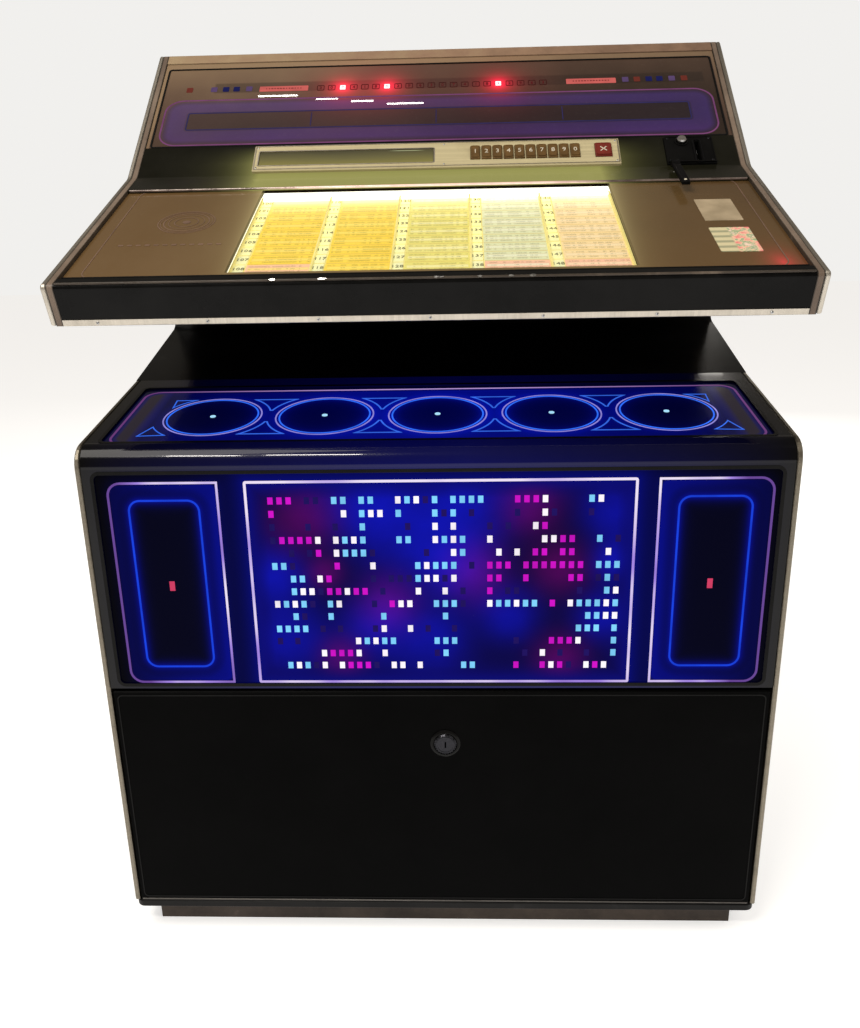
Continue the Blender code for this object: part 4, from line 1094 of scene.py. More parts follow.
# ---------------------------------------------------------------- fascia and lip
def make_fascia():
    """The pale bead along the desk's front edge, lacquer wear lightened as a painted highlight, its chips and
    seams, the pins of its strip, and the lip bead with its painted highlight.
    """
    low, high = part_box("fascia")
    half = high[0] - 0.001
    slope = DESK.to_3x3() @ Vector((0, 1, 0))
    edge = Vector((0, low[1] + 0.0009, high[2] - 0.0048))
    # A pale brown bead along the top front edge: lacquer wear with a painted highlight on it.
    bead = bmesh.new()
    add_rod(bead, half, 0.0014, 0.0011, 0.002, aim("X", edge))
    piece("fascia_edge_wear_highlight", bead, "cheek", "lid")
    chips = bmesh.new()
    for i in range(9):
        x = RNG.uniform(0.005, 0.115) if i < 7 else RNG.uniform(-0.22, -0.05)
        wide, tall = RNG.uniform(0.0014, 0.0055), RNG.uniform(0.0008, 0.0017)
        outline = []
        for cos, sin in circle(1, 9):
            reach = RNG.uniform(0.7, 1.1)
            outline.append((x + wide * reach * cos, tall * reach * sin))
        add_slab(chips, outline, 0.00135, 0.0018, at(*edge) @ spin(math.radians(62), "X"))
    piece("fascia_chips", chips, "chrome", "lid")
    top = Vector((0, high[1], high[2] - 0.0005)) + slope * 0.0010
    seam = bmesh.new()
    add_turned(seam, [(0, -half), (0.0010, -half), (0.0010, half), (0, half)], 10, aim("X", top))
    piece("desk_glass_gasket", seam, "gasket", "lid")
    strip_low, strip_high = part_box("fascia_strip")
    pins = bmesh.new()
    for i in range(7):
        spot = at((i - 3) * 0.125, strip_low[1] + 0.0006, (strip_low[2] + strip_high[2]) / 2)
        add_screw(pins, spot @ UPRIGHT, 0.0018, 0.0007)
    piece("fascia_strip_pins", pins, SCREW_PAINTS, "lid")

    points = [v.co for v in NODES["control_panel"].data.vertices]
    front = min(points, key=lambda p: (round(p.y, 4), p.z))
    half = max(p.x for p in points) - 0.002
    lip = bmesh.new()
    add_rod(lip, half, 0.0015, 0.0013, 0.001, aim("X", (0, front.y + 0.0007, front.z + 0.0002)))
    piece("lip_bead", lip, paint_lip(), "lid")


def paint_lip():
    """The bright bead along the lip, with a painted pink highlight on its middle standing in for the title
    lamp's light.
    """
    paint = Paint("lip_painted_highlight", (0.30, 0.26, 0.23), 0.25, 1.0)
    x, _, _ = paint.place()
    rub = paint.noise(60, 4, (1, 0.3, 0.3))
    paint.set("Base Color", paint.ramp(rub, (0.35, (0.12, 0.10, 0.09)), (0.65, (0.34, 0.29, 0.26))))
    paint.set("Roughness", rub * 0.3 + 0.15)
    # Painted highlight: pink light over the titles' width, and a faint glow along the rest.
    paint.emit((1.0, 0.66, 0.55), x.abs().under(0.235, 12.0) * 0.9 + 0.05)
    return paint


def paint_control_panel():
    """Black gloss with a painted yellow-green reflection of the lit titles along its lip, and a faint painted
    glow all over.
    """
    paint = black_finish("control_black", 0.20, 0.12, 900, 0.00008, tint=(1.0, 0.90, 0.78), level=1.2)
    x, y, _ = paint.place(HOOD)
    # Painted reflection: yellow-green light along the lip over the titles' width, and a faint glow
    # everywhere.
    down = ((y * -1.0 - 0.003) * 28.0).clamp()
    side = ((x + 0.010).abs() - 0.235).max(0.0).glow(0.022)
    paint.emit((0.58, 0.56, 0.17), down * side * 0.50 + 0.006)
    return paint


# ---------------------------------------------------------------- hood
DIGIT_ROW = 0.1315
DIGIT_PITCH = 0.01655
DIGIT_LIT = (2, 6, 16)
DIGIT_FIRST = -0.1731
BAND_MID = 0.0570
BAND_HALF = (0.4000, 0.0510)
STRIP_HALF = (0.3640, 0.0190)
STRIP_MID = 0.0590
DIGITS = 21
BAR_X = 0.2285
BAR_RULES = 13
# Small squares in the row of numbers: colour, strength, places.
SQUARES = {"mauve": ((0.13, 0.075, 0.19), 0.7, (-0.334, -0.281, 0.279, 0.347)),
           "blue": ((0.012, 0.014, 0.10), 0.8, (-0.316, -0.300, 0.3135, 0.329)),
           "brick": ((0.24, 0.045, 0.030), 0.6, (-0.371, 0.296, 0.365))}


def paint_hood_glass():
    """Smoked glass with a violet band behind it, a dark sign panel, red light round the lit numbers, and a
    brown tone painted as the ceiling's reflection.
    """
    paint = Paint("hood_smoked_glass", roughness=0.25, specular=0.10, coat=0.6)
    x, y, _ = paint.place(HOOD)
    band = paint.box_distance(x, y, (0, BAND_MID), BAND_HALF, 0.026)
    strip = paint.box_distance(x, y, (0, STRIP_MID), STRIP_HALF, 0.003)
    smear = paint.noise(3.5, 4, (1, 0.7, 1), 0.6)
    dust = paint.noise(150, 4, rough=0.75)
    # Painted reflection of the ceiling: the brown tone, paler higher up, to the left and at the glass's
    # edges.
    frame = y.over(0.1825, 300.0).max(x.abs().over(0.4085, 300.0))
    tone = paint.ramp(smear * 0.35 + y * 1.3 + frame * 0.25 - x * 0.34, (0.16, (0.022, 0.013, 0.009)),
                      (0.42, (0.085, 0.050, 0.034)), (0.66, (0.230, 0.155, 0.090)))
    paint.set("Coat Roughness", 0.01)
    shade = paint.box_distance(x, y, (0.030, DIGIT_ROW + 0.005), (0.365, 0.013), 0.003)
    shade = ((shade * -300.0).clamp() * 0.45).max((band * -200.0).clamp() * 0.50)
    tone = paint.mix(shade, tone, (0.012, 0.008, 0.007))
    paint.set("Base Color", paint.mix((dust - 0.55).clamp() * 0.3, tone, (0.20, 0.17, 0.14)))
    paint.set("Roughness", smear * 0.12 + dust * 0.05 + 0.22)
    cloud = paint.noise(5, 3) * 0.9 + 0.35
    panel = (strip * 260.0).clamp() * 0.92 + 0.08
    violet = (band * -90.0).clamp() * panel * cloud * (band.glow(0.035) * 0.45 + 0.62)
    warm = y.under(0.045, 20.0)
    red = None
    for i in DIGIT_LIT:
        dx = x - (DIGIT_FIRST + i * DIGIT_PITCH)
        dy = y - DIGIT_ROW
        away = (dx * dx + dy * dy).root()
        spot = (away - 0.0085).max(0.0).glow(0.0090) * 1.2 + away.glow(0.030) * 0.26
        red = spot if red is None else red + spot
    paint.emit(paint.colour(red * 0.75 + violet * (warm * 0.020 + 0.030), violet * 0.012 + red * 0.001,
                            violet * 0.120 + red * 0.035), 1.0)
    return paint


def paint_cap():
    """The lid's painted top edge: brown in uneven patches and paler to the left, a painted reflection of the
    room.
    """
    paint = Paint("cap_painted_reflection", roughness=0.4, specular=0.15)
    x, _, _ = paint.place()
    patches = paint.noise(14, 5, rough=0.7)
    # Painted reflection: the brown colour, paler to the left.
    paint.set("Base Color", paint.ramp(patches * 0.6 - x * 0.35 + 0.20, (0.25, (0.135, 0.082, 0.055)),
                                       (0.50, (0.255, 0.160, 0.102)), (0.75, (0.330, 0.250, 0.145))))
    paint.set("Roughness", patches * 0.2 + 0.3)
    paint.bump(paint.noise(500, 3), 0.0002, 0.4)
    return paint


def make_hood():
    """The lines of the violet band and sign panel, and the row of numbers, bars and squares above them."""
    dress("hood_glass", paint_hood_glass())
    outline = bmesh.new()
    band = rounded(2 * BAND_HALF[0], 2 * BAND_HALF[1], 0.026, 10, (0, BAND_MID))
    add_ribbon(outline, band, 0.0022, 0, INK, HOOD)
    piece("hood_band_line", outline, lit("band_pink", (0.42, 0.13, 0.36), 0.42), "lid")
    strip = bmesh.new()
    sign_panel = rounded(2 * STRIP_HALF[0], 2 * STRIP_HALF[1], 0.003, 4, (0, STRIP_MID))
    add_ribbon(strip, sign_panel, 0.0016, 0, INK, HOOD)
    for i in range(-1, 2):
        add_slab(strip, rounded(0.0012, 0.030, 0.0005, 2, (i * 0.182, STRIP_MID)), 0, INK, HOOD)
    piece("hood_strip_line", strip, lit("strip_line", (0.035, 0.030, 0.12), 0.8), "lid")
    inset = bmesh.new()
    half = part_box("hood_glass")[1][0] - 0.0065
    rim = rounded(2 * half, HOOD_LENGTH - 0.016, 0.004, 4, (0, HOOD_LENGTH / 2 - 0.006))
    add_ribbon(inset, rim, 0.0024, 0, 0.0010, HOOD)
    piece("hood_inset_gasket", inset, "gasket", "lid")

    paints = {"windows": lit("number_frame", (0.13, 0.020, 0.018), 0.35),
              "lit": lit("number_white", (1.0, 0.86, 0.88), 1.5),
              "dim": lit("number_red", (0.22, 0.020, 0.024), 0.45),
              "dark": lit("number_dark", (0.5, 0.06, 0.08), 0.5),
              "bars": lit("bar_salmon", (0.80, 0.16, 0.14), 0.72),
              "rules": lit("bar_rule", (0.34, 0.05, 0.045), 0.6)}
    makers = {name: bmesh.new() for name in paints}
    for i in range(DIGITS):
        x = DIGIT_FIRST + i * DIGIT_PITCH
        number = str((i * 7 + 3) % 10)
        if i in DIGIT_LIT:
            add_slab(makers["lit"], rounded(0.0082, 0.0096, 0.0008, 3, (x, DIGIT_ROW)), 0, 0.0005, HOOD)
            add_digits(makers["dark"], number, x, DIGIT_ROW, 0.0062, 0.0006, HOOD)
        else:
            add_ribbon(makers["windows"], rounded(0.0100, 0.0110, 0.0012, 3, (x, DIGIT_ROW)), 0.0009, 0, INK,
                       HOOD)
            add_digits(makers["dim"], number, x, DIGIT_ROW, 0.0085, 0.0002, HOOD)
    for sign in (-1, 1):
        x, y = sign * BAR_X, DIGIT_ROW + 0.0005
        add_slab(makers["bars"], rounded(0.0730, 0.0115, 0.0010, 3, (x, y)), 0, 0.0005, HOOD)
        for k in range(BAR_RULES):
            outline = rounded(RNG.uniform(0.0014, 0.0036), 0.0022, 0.0004, 2, (x - 0.026 + k * 0.0043, y))
            add_slab(makers["rules"], outline, 0.0005, 0.0007, HOOD)
    for name, maker in makers.items():
        piece(f"hood_row_{name}", maker, paints[name], "lid")
    for name, (colour, strength, spots) in SQUARES.items():
        maker = bmesh.new()
        for x in spots:
            add_slab(maker, rounded(0.0092, 0.0105, 0.0010, 3, (x, DIGIT_ROW + 0.002)), 0, 0.0006, HOOD)
        piece(f"hood_square_{name}", maker, lit(f"square_{name}", colour, strength), "lid")


# ---------------------------------------------------------------- keypad and coin entry
def make_keypad():
    """The display window, the bar's lines and screws, and a raised cap with its mark on each key."""
    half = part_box("keypad_bar")[1][0] - 0.0022
    window = (-0.1243, BAR_LENGTH / 2 - 0.0018)
    pane = bmesh.new()
    add_slab(pane, rounded(0.2430, 0.0280, 0.0015, 3, window), -0.0024, -0.0006, BAR)
    glass = Paint("window_olive", roughness=0.10, specular=0.4)
    x, y, _ = glass.place(BAR)
    smear = glass.noise(16, 3, (0.4, 1, 1))
    # Painted shade: darker towards the top of the window.
    glass.set("Base Color", glass.ramp(y * 22.0 + smear * 0.3, (0.35, (0.190, 0.170, 0.048)),
                                       (0.70, (0.110, 0.100, 0.040)), (1.00, (0.055, 0.050, 0.026))))
    glass.set("Roughness", smear * 0.15 + 0.05)
    # Painted highlight: a thin bright line across part of the window, and a faint painted glow low down.
    streak = (y - 0.0365).abs().under(0.0007, 2500.0) * (x + 0.040).abs().under(0.026, 70.0)
    glass.emit((0.75, 0.85, 0.50), streak * 0.5 + (y * -40.0).math("EXPONENT") * 0.02)
    piece("display_window", pane, glass, "lid")
    frame_line = bmesh.new()
    outline = rounded(2 * half, BAR_LENGTH - 0.0050, 0.0015, 3, (0, BAR_LENGTH / 2))
    add_ribbon(frame_line, outline, 0.0013, 0, 0.0006, BAR)
    add_ribbon(frame_line, rounded(0.2455, 0.0305, 0.0020, 3, window), 0.0014, 0, 0.0005, BAR)
    piece("keypad_bar_lines", frame_line, "trim", "lid")
    screws = bmesh.new()
    for x in (-half + 0.0030, 0.0120, half - 0.0030):
        for y in (0.0060, BAR_LENGTH - 0.0060):
            add_screw(screws, BAR @ at(x, y), 0.0015, 0.0006)
    piece("keypad_bar_screws", screws, SCREW_PAINTS, "lid")

    for i in (*range(10), None):
        node = "reset_key" if i is None else f"key_{i}"
        look = "red_key" if i is None else "brown_key"
        top, length = face_frame(node, (0, -1, 1))
        box_low, box_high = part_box(node)
        x = (box_low[0] + box_high[0]) / 2
        wide = box_high[0] - box_low[0]
        cap = bmesh.new()
        outline = rounded(wide - 0.0032, length * 0.84, 0.0022, 4, (x, length / 2))
        add_slab(cap, outline, -0.0002, 0.0006, top)
        add_ribbon(cap, outline, 0.0009, 0.0004, 0.0010, top)
        piece(f"{node}_cap", cap, look, node)
        mark = bmesh.new()
        if i is None:
            for turn in (QUARTER / 2, -QUARTER / 2):
                spot = top @ at(x, length / 2) @ spin(turn, "Z")
                add_box(mark, (-0.0060, -0.0007, 0.0006), (0.0060, 0.0007, 0.0008), spot)
        else:
            add_digits(mark, str(i), x, length * 0.5, 0.0110, 0.0008, top)
        piece(f"{node}_mark", mark, "pale_ink", node)


SLOT_CENTRE = (0.3615, 0.0240)
BUTTON_CENTRE = (0.3410, 0.0455)
LEVER_X = 0.3240


def make_coin_entry():
    """The rim, slot, screws and button collar of the coin plate, and the return lever's mark and groove."""
    low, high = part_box("coin_block")
    x = (low[0] + high[0]) / 2
    rim = bmesh.new()
    outline = rounded(high[0] - low[0] - 0.004, COIN_LENGTH - 0.004, 0.003, 4, (x, COIN_LENGTH / 2))
    add_ribbon(rim, outline, 0.0012, 0, 0.0007, COIN)
    add_box(rim, (low[0] + 0.0005, 0.0010, 0), (high[0] - 0.0005, 0.0026, 0.0022), COIN, 0.0004)
    piece("coin_plate_rim", rim, "gloss", "lid")
    bezel = bmesh.new()
    add_ribbon(bezel, rounded(0.0105, 0.0475, 0.0030, 6, SLOT_CENTRE), 0.0018, 0, 0.0011, COIN)
    piece("coin_slot_bezel", bezel, "dark_chrome", "lid")
    screws = bmesh.new()
    for dx in (low[0] + 0.0050, high[0] - 0.0050):
        for y in (0.0065, COIN_LENGTH - 0.0045):
            add_screw(screws, COIN @ at(dx, y), 0.0020, 0.0009)
    piece("coin_plate_screws", screws, ("dark_chrome", "gasket"), "lid")
    collar = bmesh.new()
    profile = [(0.0075, 0), (0.0098, 0), (0.0096, 0.0010), (0.0082, 0.0014), (0.0075, 0.0010)]
    add_turned(collar, profile, 40, COIN @ at(*BUTTON_CENTRE), closed=True)
    piece("coin_button_collar", collar, "gloss", "lid")
    tip = min((v.co for v in NODES["return_lever"].data.vertices), key=lambda p: p.y)
    lever, _ = face_frame("return_lever", (0, -0.3, 1))
    dot = bmesh.new()
    y = (lever.inverted() @ Vector((LEVER_X, tip.y + 0.006, tip.z + 0.003))).y
    add_turned(dot, [(0, 0.0008), (0.0016, 0.0006), (0.0021, 0), (0, 0)], 16, lever @ at(LEVER_X, y))
    piece("return_lever_mark", dot, "pale_ink", "return_lever")
    groove = bmesh.new()
    add_ribbon(groove, rounded(0.0080, 0.0600, 0.0015, 3, (LEVER_X, y + 0.0320)), 0.0006, 0, 0.0004, lever)
    piece("return_lever_groove", groove, "gloss", "return_lever")


# ---------------------------------------------------------------- cabinet outside
KNEE_TOP = 0.6991
KNEE_RADIUS = 0.0275
KNEE_STEPS = 40


def make_rims():
    """The raised lips of the moulded sheet round its two windows."""
    rims = bmesh.new()
    low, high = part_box("front_glass")
    out = (FACE.inverted() @ Vector((0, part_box("front_moulding")[0][1], low[2]))).z
    shelf_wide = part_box("shelf_glass")[1][0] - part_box("shelf_glass")[0][0]
    windows = ((FACE, high[0] - low[0], high[2] - low[2], out - 0.0012, out + 0.0006),
               (SHELF, shelf_wide, SHELF_LENGTH, 0.0008, 0.0026))
    for frame, wide, tall, bottom, top in windows:
        outline = rounded(wide + 0.0058, tall + 0.0058, 0.0088, 8, (0, tall / 2))
        add_ribbon(rims, outline, 0.0042, bottom, top, frame)
    piece("window_rims", rims, "gloss", "cabinet")


def paint_moulding():
    """Gloss black sheet with a painted blue glow standing in for the light of the lit glass above and below
    it.
    """
    paint = black_finish("moulding_black", 0.20, 0.06, 900, 0.00006, level=0.4)
    paint.set("Coat Weight", 0.4)
    x, _, z = paint.place()
    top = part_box("front_glass")[1][2]
    # Painted light: a blue glow over the whole sheet, strongest up to the top of the front glass, fading
    # above it, and strongest in the middle.
    near = (z - top).max(0.0).glow(0.030) + 0.25
    middle = (x.abs() * -2.6 + 1.10).clamp()
    paint.emit((0.004, 0.007, 0.30), near * middle * 0.27)
    return paint


def make_knee():
    """A smooth skin over the moulding's rounded top edge."""
    low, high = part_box("front_moulding")
    turn = QUARTER - math.atan2(SHELF.col[1].z, SHELF.col[1].y)
    back = KNEE_RADIUS * math.tan(turn / 2)
    outer = []
    inner = []
    for i in range(KNEE_STEPS + 1):
        a = math.pi - turn * i / KNEE_STEPS
        swell = 0.0006 * min(1.0, i / 3, (KNEE_STEPS - i) / 3)
        for path, radius in ((outer, KNEE_RADIUS + swell), (inner, KNEE_RADIUS - 0.0010)):
            path.append((low.y + KNEE_RADIUS + radius * math.cos(a), KNEE_TOP - back + radius * math.sin(a)))
    skin = bmesh.new()
    add_slab(skin, outer + inner[::-1], low.x + 0.0005, high.x - 0.0005, spin(QUARTER, "Z") @ UPRIGHT)
    piece("moulding_knee", skin, paint_moulding(), "cabinet")


def make_door():
    """The door's edge line, the pale bead along its lower edge as a painted highlight, its lock and the
    stiffeners behind it.
    """
    low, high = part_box("lower_door")
    front = at(0, low[1], low[2]) @ UPRIGHT
    tall = high[2] - low[2]
    lines = bmesh.new()
    add_ribbon(lines, rounded(2 * high[0] - 0.012, tall - 0.012, 0.006, 5, (0, tall / 2)), 0.0016, 0, 0.0005,
               front)
    piece("door_edge_line", lines, "gloss", "lower_door")
    # A thin pale bead along the lower front edge: a painted highlight.
    sill = bmesh.new()
    add_rod(sill, high[0] - 0.002, 0.0012, 0.0010, 0.001, aim("X", (0, low[1] + 0.0006, low[2] + 0.0010)))
    piece("door_edge_highlight", sill, "sill", "lower_door")
    lock_low, lock_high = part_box("door_lock")
    lock_x = lock_high[0] - 0.0145
    height = (lock_low[2] + lock_high[2]) / 2 - low[2]
    bezel = bmesh.new()
    profile = [(0.0152, 0), (0.0195, 0), (0.0195, 0.0010), (0.0180, 0.0022), (0.0156, 0.0026),
               (0.0152, 0.0018)]
    add_turned(bezel, profile, 48, front @ at(lock_x, height), closed=True)
    piece("door_lock_bezel", bezel, "gloss", "lower_door")
    face = bmesh.new()
    plate = front @ at(lock_x, height, low[1] - lock_low[1])
    add_ribbon(face, circle(0.0112, 40), 0.0012, 0, 0.0006, plate)
    for i in range(24):
        turn = plate @ spin(2 * math.pi * i / 24, "Z")
        add_box(face, (0.0126, -0.0004, -0.0004), (0.0140, 0.0004, 0.0004), turn)
    piece("door_lock_face", face, "dark_chrome", "door_lock")
    inside = bmesh.new()
    back = at(0, high[1], low[2]) @ UPRIGHT @ Matrix.Diagonal((1, 1, -1, 1))
    for x in (-0.36, 0.36):
        add_box(inside, (x - 0.012, 0.020, 0), (x + 0.012, tall - 0.030, 0.0030), back, 0.0010)
    for y in (0.030, tall - 0.034):
        add_box(inside, (-0.34, y - 0.006, 0), (0.34, y + 0.006, 0.0030), back, 0.0010)
    piece("door_stiffeners", inside, "pressed", "lower_door")


def paint_cheek():
    """Worn black cheeks, with a brown sheen painted along their narrow edges as the room's reflection."""
    low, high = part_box("lid_cheek_right")
    paint = Paint("cheek_board", roughness=0.38, specular=0.30)
    x, _, _ = paint.place()
    wear_and_haze_noise = paint.noise(9, 5, rough=0.7)
    edge = (x.abs() - low.x).min(x.abs() * -1.0 + high.x)
    edge = ((edge - 0.0008) * 2000.0).clamp()
    board = paint.ramp(wear_and_haze_noise * 0.9 + 0.06, (0.35, (0.024, 0.018, 0.013)), (0.62, (0.060, 0.046, 0.034)),
                       (0.80, (0.24, 0.18, 0.135)))
    # Painted reflection: a brown sheen on the narrow edges.
    painted_reflection_haze = paint.ramp(wear_and_haze_noise, (0.35, (0.120, 0.086, 0.064)), (0.70, (0.215, 0.160, 0.118)))
    paint.set("Base Color", paint.mix(edge, board, painted_reflection_haze))
    paint.set("Roughness", wear_and_haze_noise * 0.30 + 0.25)
    paint.bump(paint.noise(700, 2, rough=0.6), 0.0003, 0.35)
    return paint


SIDE_SCREWS = [(y, z) for y,
               top in ((-0.225, 0.655), (0.020, 0.745), (0.255, 0.745)) for z in (0.105, 0.430, top)]
CHEEK_SCREWS = ((-0.245, 0.880), (-0.060, 0.905), (0.120, 0.935), (0.250, 0.835), (0.255, 1.150),
                (0.130, 1.045))
TRIM_PINS = 5


def make_sides():
    """Both sides alike: screws on washers, a recessed grip, the lid's screws and the pins of the trims."""
    cheek_paint = paint_cheek()
    for side, sign in (("left", -1), ("right", 1)):
        face, cheek = (abs(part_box(f"{node}_{side}")[sign > 0][0]) for node in ("side_board", "lid_cheek"))
        screws, washers, pull, studs, pins = (bmesh.new() for _ in range(5))
        for y, z in SIDE_SCREWS:
            spot = outward(sign, face, y, z)
            add_turned(washers, [(0, 0), (0.0085, 0), (0.0080, 0.0012), (0.0052, 0.0024), (0, 0.0022)], 28,
                       spot)
            add_screw(screws, spot @ at(0, 0, 0.0020), 0.0046, 0.0012)
        piece(f"side_washers_{side}", washers, "steel", "cabinet")
        piece(f"side_screws_{side}", screws, SCREW_PAINTS, "cabinet")
        spot = outward(sign, face, 0.085, 0.610) @ spin(QUARTER, "Z")
        add_ribbon(pull, rounded(0.150, 0.056, 0.012, 6), 0.010, 0, 0.0030, spot)
        recess = rounded(0.132, 0.038, 0.008, 6)
        add_ribbon(pull, recess, 0.0022, 0, 0.0045, spot)
        add_slab(pull, recess, 0, 0.0006, spot, material=1)
        piece(f"side_grip_{side}", pull, ("satin", "gasket"), "cabinet")
        for y, z in CHEEK_SCREWS:
            add_screw(studs, outward(sign, cheek, y, z), 0.0050, 0.0018)
        piece(f"cheek_screws_{side}", studs, SCREW_PAINTS, "lid")
        for node, paint in (("side_board", PAINTS["laminate"]), ("lid_cheek", cheek_paint),
                            ("lid_trim", PAINTS["trim"]), ("body_trim", PAINTS["body_trim"])):
            dress(f"{node}_{side}", paint)
        low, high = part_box(f"body_trim_{side}")
        for i in range(TRIM_PINS):
            z = low[2] + (high[2] - low[2]) * (i + 0.5) / TRIM_PINS
            spot = outward(sign, CAD_BOUNDS[1][0], low[1] + 0.009, z)
            add_turned(pins, [(0, 0.0006), (0.0018, 0.0005), (0.0024, 0), (0, 0)], 16, spot)
        piece(f"body_trim_pins_{side}", pins, "steel", "cabinet")


VENTS = (-0.17, 0.17)
VENT_MIDDLE = 0.300
FINS, FIN_PITCH = 9, 0.0138
BACK_SCREWS = [(x, z) for x in (-0.385, -0.13, 0.13, 0.385) for z in (0.090, 0.755)]
BACK_SCREWS += [(x, z) for x in (-0.385, 0.385) for z in (0.31, 0.53)]
SOCKET_CENTRE = (-0.300, 0.150)
HINGE_SCREWS = 12
LID_SLOTS = 12


def make_back():
    """Louvres, screws and the power inlet on the back board, the hinge's screws and the lid's back cover."""
    back = at(0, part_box("back_board")[1][1], 0) @ FACING_BACK
    grille, dark, screws, inlet, leaf, cover = (bmesh.new() for _ in range(6))
    for x in VENTS:
        add_ribbon(grille, rounded(0.26, 0.150, 0.006, 5, (x, VENT_MIDDLE)), 0.012, 0, 0.0022, back)
        for i in range(FINS):
            fin = back @ at(x, 0.245 + i * FIN_PITCH, 0.0012) @ spin(math.radians(28), "X")
            add_box(grille, (-0.120, -0.0046, -0.0007), (0.120, 0.0046, 0.0007), fin, 0.0004, 1)
        add_slab(dark, rounded(0.25, 0.140, 0.004, 4, (x, VENT_MIDDLE)), 0, 0.0003, back)
    piece("back_louvres", grille, "satin", "cabinet")
    piece("back_vent_shade", dark, "gasket", "cabinet")
    for x, z in BACK_SCREWS:
        add_screw(screws, back @ at(x, z), 0.0045, 0.0016)
    piece("back_screws", screws, SCREW_PAINTS, "cabinet")
    add_slab(inlet, rounded(0.074, 0.050, 0.004, 5, (-0.315, 0.150)), 0, 0.0016, back)
    add_ribbon(inlet, rounded(0.030, 0.024, 0.003, 4, SOCKET_CENTRE), 0.0022, 0.0014, 0.0040, back, 1)
    add_slab(inlet, rounded(0.026, 0.020, 0.003, 4, SOCKET_CENTRE), 0.0014, 0.0020, back, 1)
    for dx, dy in ((-0.006, 0.002), (0.006, 0.002), (0.0, -0.004)):
        pin = back @ at(SOCKET_CENTRE[0] + dx, SOCKET_CENTRE[1] + dy)
        add_box(inlet, (-0.0007, -0.0025, 0.0018), (0.0007, 0.0025, 0.0034), pin)
    fuse = back @ at(-0.335, 0.150, 0.0015)
    add_turned(inlet, [(0, 0.0036), (0.0058, 0.0034), (0.0064, 0), (0, 0)], 24, fuse, material=1)
    piece("power_inlet", inlet, ("steel", "rubber"), "cabinet")

    low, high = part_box("lid_hinge")
    for i in range(HINGE_SCREWS):
        x = low[0] + (high[0] - low[0]) * (i + 0.5) / HINGE_SCREWS
        add_screw(leaf, aim("Y", (x, high[1] - 0.0048, low[2] + 0.012)), 0.0032, 0.0008)
    piece("hinge_screws", leaf, SCREW_PAINTS, "cabinet")
    low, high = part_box("lid_back")
    panel = at(0, high[1], 0) @ FACING_BACK
    middle = (low[2] + high[2]) / 2
    add_ribbon(cover, rounded(0.62, 0.250, 0.012, 6, (0, middle)), 0.0060, 0, 0.0016, panel)
    # Painted shade: the slots are thin dark strips laid on the panel.
    for i in range(LID_SLOTS):
        x = (i - (LID_SLOTS - 1) / 2) * 0.020
        add_slab(cover, rounded(0.0045, 0.060, 0.0022, 5, (x, middle + 0.055)), 0, 0.0004, panel, material=1)
    for x in (-0.395, -0.20, 0.0, 0.20, 0.395):
        for z in (low[2] + 0.022, high[2] - 0.022):
            add_screw(cover, panel @ at(x, z), 0.0040, 0.0014)
    piece("lid_back_panel", cover, ("satin", "gasket"), "lid")


# ---------------------------------------------------------------- inside
RECORDS = 50
RECORDS_RADIUS = 0.1325
RECORDS_HEIGHT = 0.5345
LABEL_COLOURS = ((0.55, 0.12, 0.06), (0.10, 0.20, 0.45), (0.62, 0.48, 0.16))
KNOBS, KNOB_PITCH, FIRST_KNOB = 4, 0.042, 0.045
SCALE_MARKS = 11


def make_records():
    """The fifty records in the magazine's slots, with coloured labels."""
    low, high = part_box("record_magazine")
    centre = at((low[0] + high[0]) / 2, (low[1] + high[1]) / 2, RECORDS_HEIGHT)
    discs, labels = bmesh.new(), bmesh.new()
    for i in range(RECORDS):
        spot = centre @ spin(2 * math.pi * (i + 0.5) / RECORDS, "Z") @ at(RECORDS_RADIUS, 0) @ UPRIGHT
        profile = [(0.0190, -0.0006), (0.0875, -0.0004), (0.0875, 0.0004), (0.0190, 0.0006)]
        add_turned(discs, profile, 40, spot, closed=True)
        for side in (-1, 1):
            ends = [(r, side * z) for r,
                    z in ((0.0195, 0.0007), (0.0440, 0.0007), (0.0440, 0.0009), (0.0195, 0.0009))]
            add_turned(labels, ends, 28, spot, closed=True, material=(i * 7) % len(LABEL_COLOURS))
    vinyl = Paint("vinyl", roughness=0.25, specular=0.5)
    _, _, z = vinyl.place(centre)
    ridges = vinyl.noise(300, 2)
    vinyl.set("Base Color", vinyl.ramp(ridges, (0.3, (0.004, 0.004, 0.004)), (0.7, (0.012, 0.012, 0.012))))
    vinyl.set("Roughness", ridges * 0.2 + 0.15)
    vinyl.bump((z * 3800.0).math("SINE"), 0.0001, 0.2)
    piece("records", discs, vinyl, "record_magazine")
    shades = [moulded(f"record_label_{i}", colour, 0.6) for i, colour in enumerate(LABEL_COLOURS)]
    piece("record_labels", labels, shades, "record_magazine")


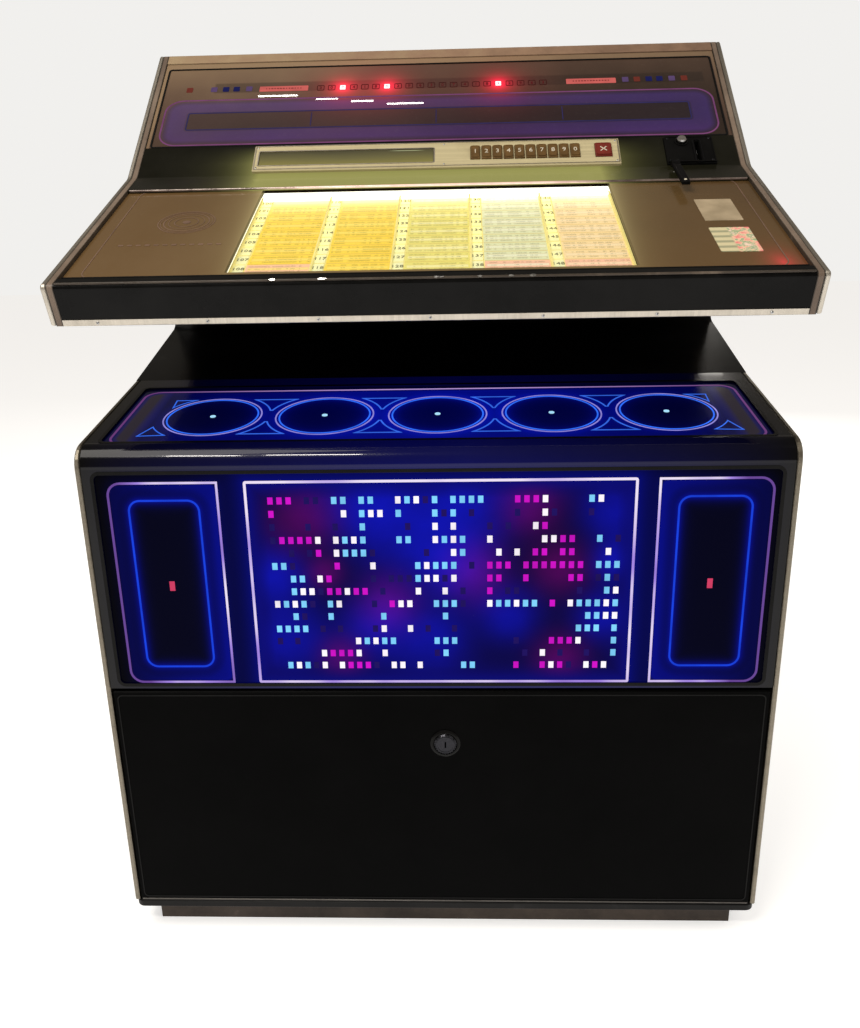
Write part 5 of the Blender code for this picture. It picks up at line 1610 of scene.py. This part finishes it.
def make_inside():
    """Records, knobs and bulbs, and the small parts of the woofers, the title lamp and the tonearm."""
    dress("record_magazine", PAINTS["cast"])
    make_records()
    knobs, scale, sockets, bulbs, ends, head = (bmesh.new() for _ in range(6))
    low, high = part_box("amplifier")
    for i in range(KNOBS):
        spot = at(low[0] + FIRST_KNOB + i * KNOB_PITCH, low[1], (low[2] + high[2]) / 2) @ UPRIGHT
        profile = [(0, 0.0120), (0.0085, 0.0120), (0.0100, 0.0105), (0.0108, 0.0010), (0.0125, 0), (0, 0)]
        add_turned(knobs, profile, 32, spot)
        add_box(knobs, (-0.0008, 0.0020, 0.0118), (0.0008, 0.0085, 0.0126), spot, material=1)
        for k in range(SCALE_MARKS):
            turn = spot @ spin(math.radians(-140 + k * 28), "Z")
            add_box(scale, (-0.0004, 0.0150, 0), (0.0004, 0.0178, 0.0004), turn)
    piece("amplifier_knobs", knobs, ("rubber", "pale_ink"), "cabinet")
    piece("amplifier_scale", scale, "pale_ink", "cabinet")

    low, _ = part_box("light_board")
    for x, y, _, kind in DISPLAY_LAMPS:
        spot = at(0, low[1], low[2]) @ UPRIGHT @ at(x, y - 0.010)
        add_turned(sockets, [(0, 0.0050), (0.0052, 0.0050), (0.0060, 0.0042), (0.0060, 0), (0, 0)], 20, spot)
        profile = [(0, 0.0160), (0.0022, 0.0155), (0.0038, 0.0135), (0.0044, 0.0110), (0.0040, 0.0060),
                   (0.0040, 0.0050)]
        add_turned(bulbs, profile, 20, spot, material=kind)
    piece("lamp_sockets", sockets, "cream", "cabinet")
    piece("lamp_bulbs", bulbs,
          (lit("bulb_blue", (0.02, 0.10, 1.0), 1.2), lit("bulb_red", (0.9, 0.03, 0.10), 1.2)),
          "cabinet")
    for side in ("left", "right"):
        low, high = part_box(f"woofer_{side}")
        spot = at((low[0] + high[0]) / 2, low[1], (low[2] + high[2]) / 2) @ UPRIGHT
        ring = bmesh.new()
        for radius, tall in ((0.1020, 0.0035), (0.0960, 0.0020)):
            profile = [(0, -0.0030), (0.0040, -0.0030), (0.0034, tall * 0.7), (0.0020, tall),
                       (0.0006, tall * 0.7)]
            add_turned(ring, [(radius + r, z) for r, z in profile], 64, spot, closed=True)
        piece(f"woofer_surround_{side}", ring, "rubber", "cabinet")
    low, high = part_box("title_lamp")
    for sign in (-1, 1):
        spot = at(sign * high[0], (low[1] + high[1]) / 2, (low[2] + high[2]) / 2) @ spin(sign * QUARTER, "Y")
        profile = [(0, -0.0080), (0.0086, -0.0080), (0.0090, -0.0060), (0.0090, -0.0005), (0, -0.0005)]
        add_turned(ends, profile, 28, spot)
    piece("title_lamp_caps", ends, lit("cap_glow", LAMP_WHITE, 1.3, LAMP_PLASTIC), "lid")
    low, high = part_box("tonearm")
    top = at((low[0] + high[0]) / 2, (low[1] + high[1]) / 2, high[2])
    add_box(head, (-0.0052, -0.0052, -0.026), (0.0052, 0.0052, -0.004), top, 0.0012)
    piece("tonearm_head", head, "cream", "tonearm")


NODE_PAINTS = {
    "gloss": ("fascia", "neck_cover"),
    "satin": ("desk_pan", "lid_back", "coin_block", "return_lever"),
    "door": ("lower_door",),
    "laminate": ("floor_board",),
    "plinth": ("plinth",),
    "trim": ("fascia_strip",),
    "champagne": ("keypad_bar",),
    "steel": ("wheel_axle", "lid_hinge", "gripper_arm", "turntable_motor"),
    "pressed": ("mechanism_chassis", "cash_box", "amplifier", "coin_acceptor"),
    "dark_chrome": ("door_lock",),
    "chrome": ("coin_button",),
    "cast": ("turntable",),
    "board": ("back_board", "speaker_baffle"),
    "cone": ("woofer_left", "woofer_right"),
    "cream": ("light_board", "tonearm"),
    "rubber": ("wheel_left", "wheel_right", "drive_wheel"),
    "red_key": ("reset_key",),
    "brown_key": tuple(f"key_{i}" for i in range(10)),
}


def dress_rest():
    """The CAD nodes whose paint is all that they need."""
    for shade, nodes in NODE_PAINTS.items():
        for node in nodes:
            dress(node, PAINTS[shade])
    enamel = moulded("rack_enamel_painted_glow", (0.62, 0.55, 0.22), 0.5)
    # Painted light: the rack glows yellow as if lit by the title lamp.
    enamel.emit((0.85, 0.72, 0.22), 0.45)
    dress("title_rack", enamel)
    dress("title_lamp", lit("lamp_tube", (1.0, 0.97, 0.86), 3.0, (0.9, 0.9, 0.85)))
    dress("top_cap", paint_cap())
    dress("front_moulding", paint_moulding())
    dress("control_panel", paint_control_panel())
    dress("desk_glass", paint_desk_glass())


make_stage()
make_camera()
PAINTS = make_paints()
dress_rest()
make_front_display()
make_shelf()
make_titles()
make_desk_prints()
make_fascia()
make_hood()
make_keypad()
make_coin_entry()
make_rims()
make_knee()
make_door()
make_sides()
make_back()
make_inside()
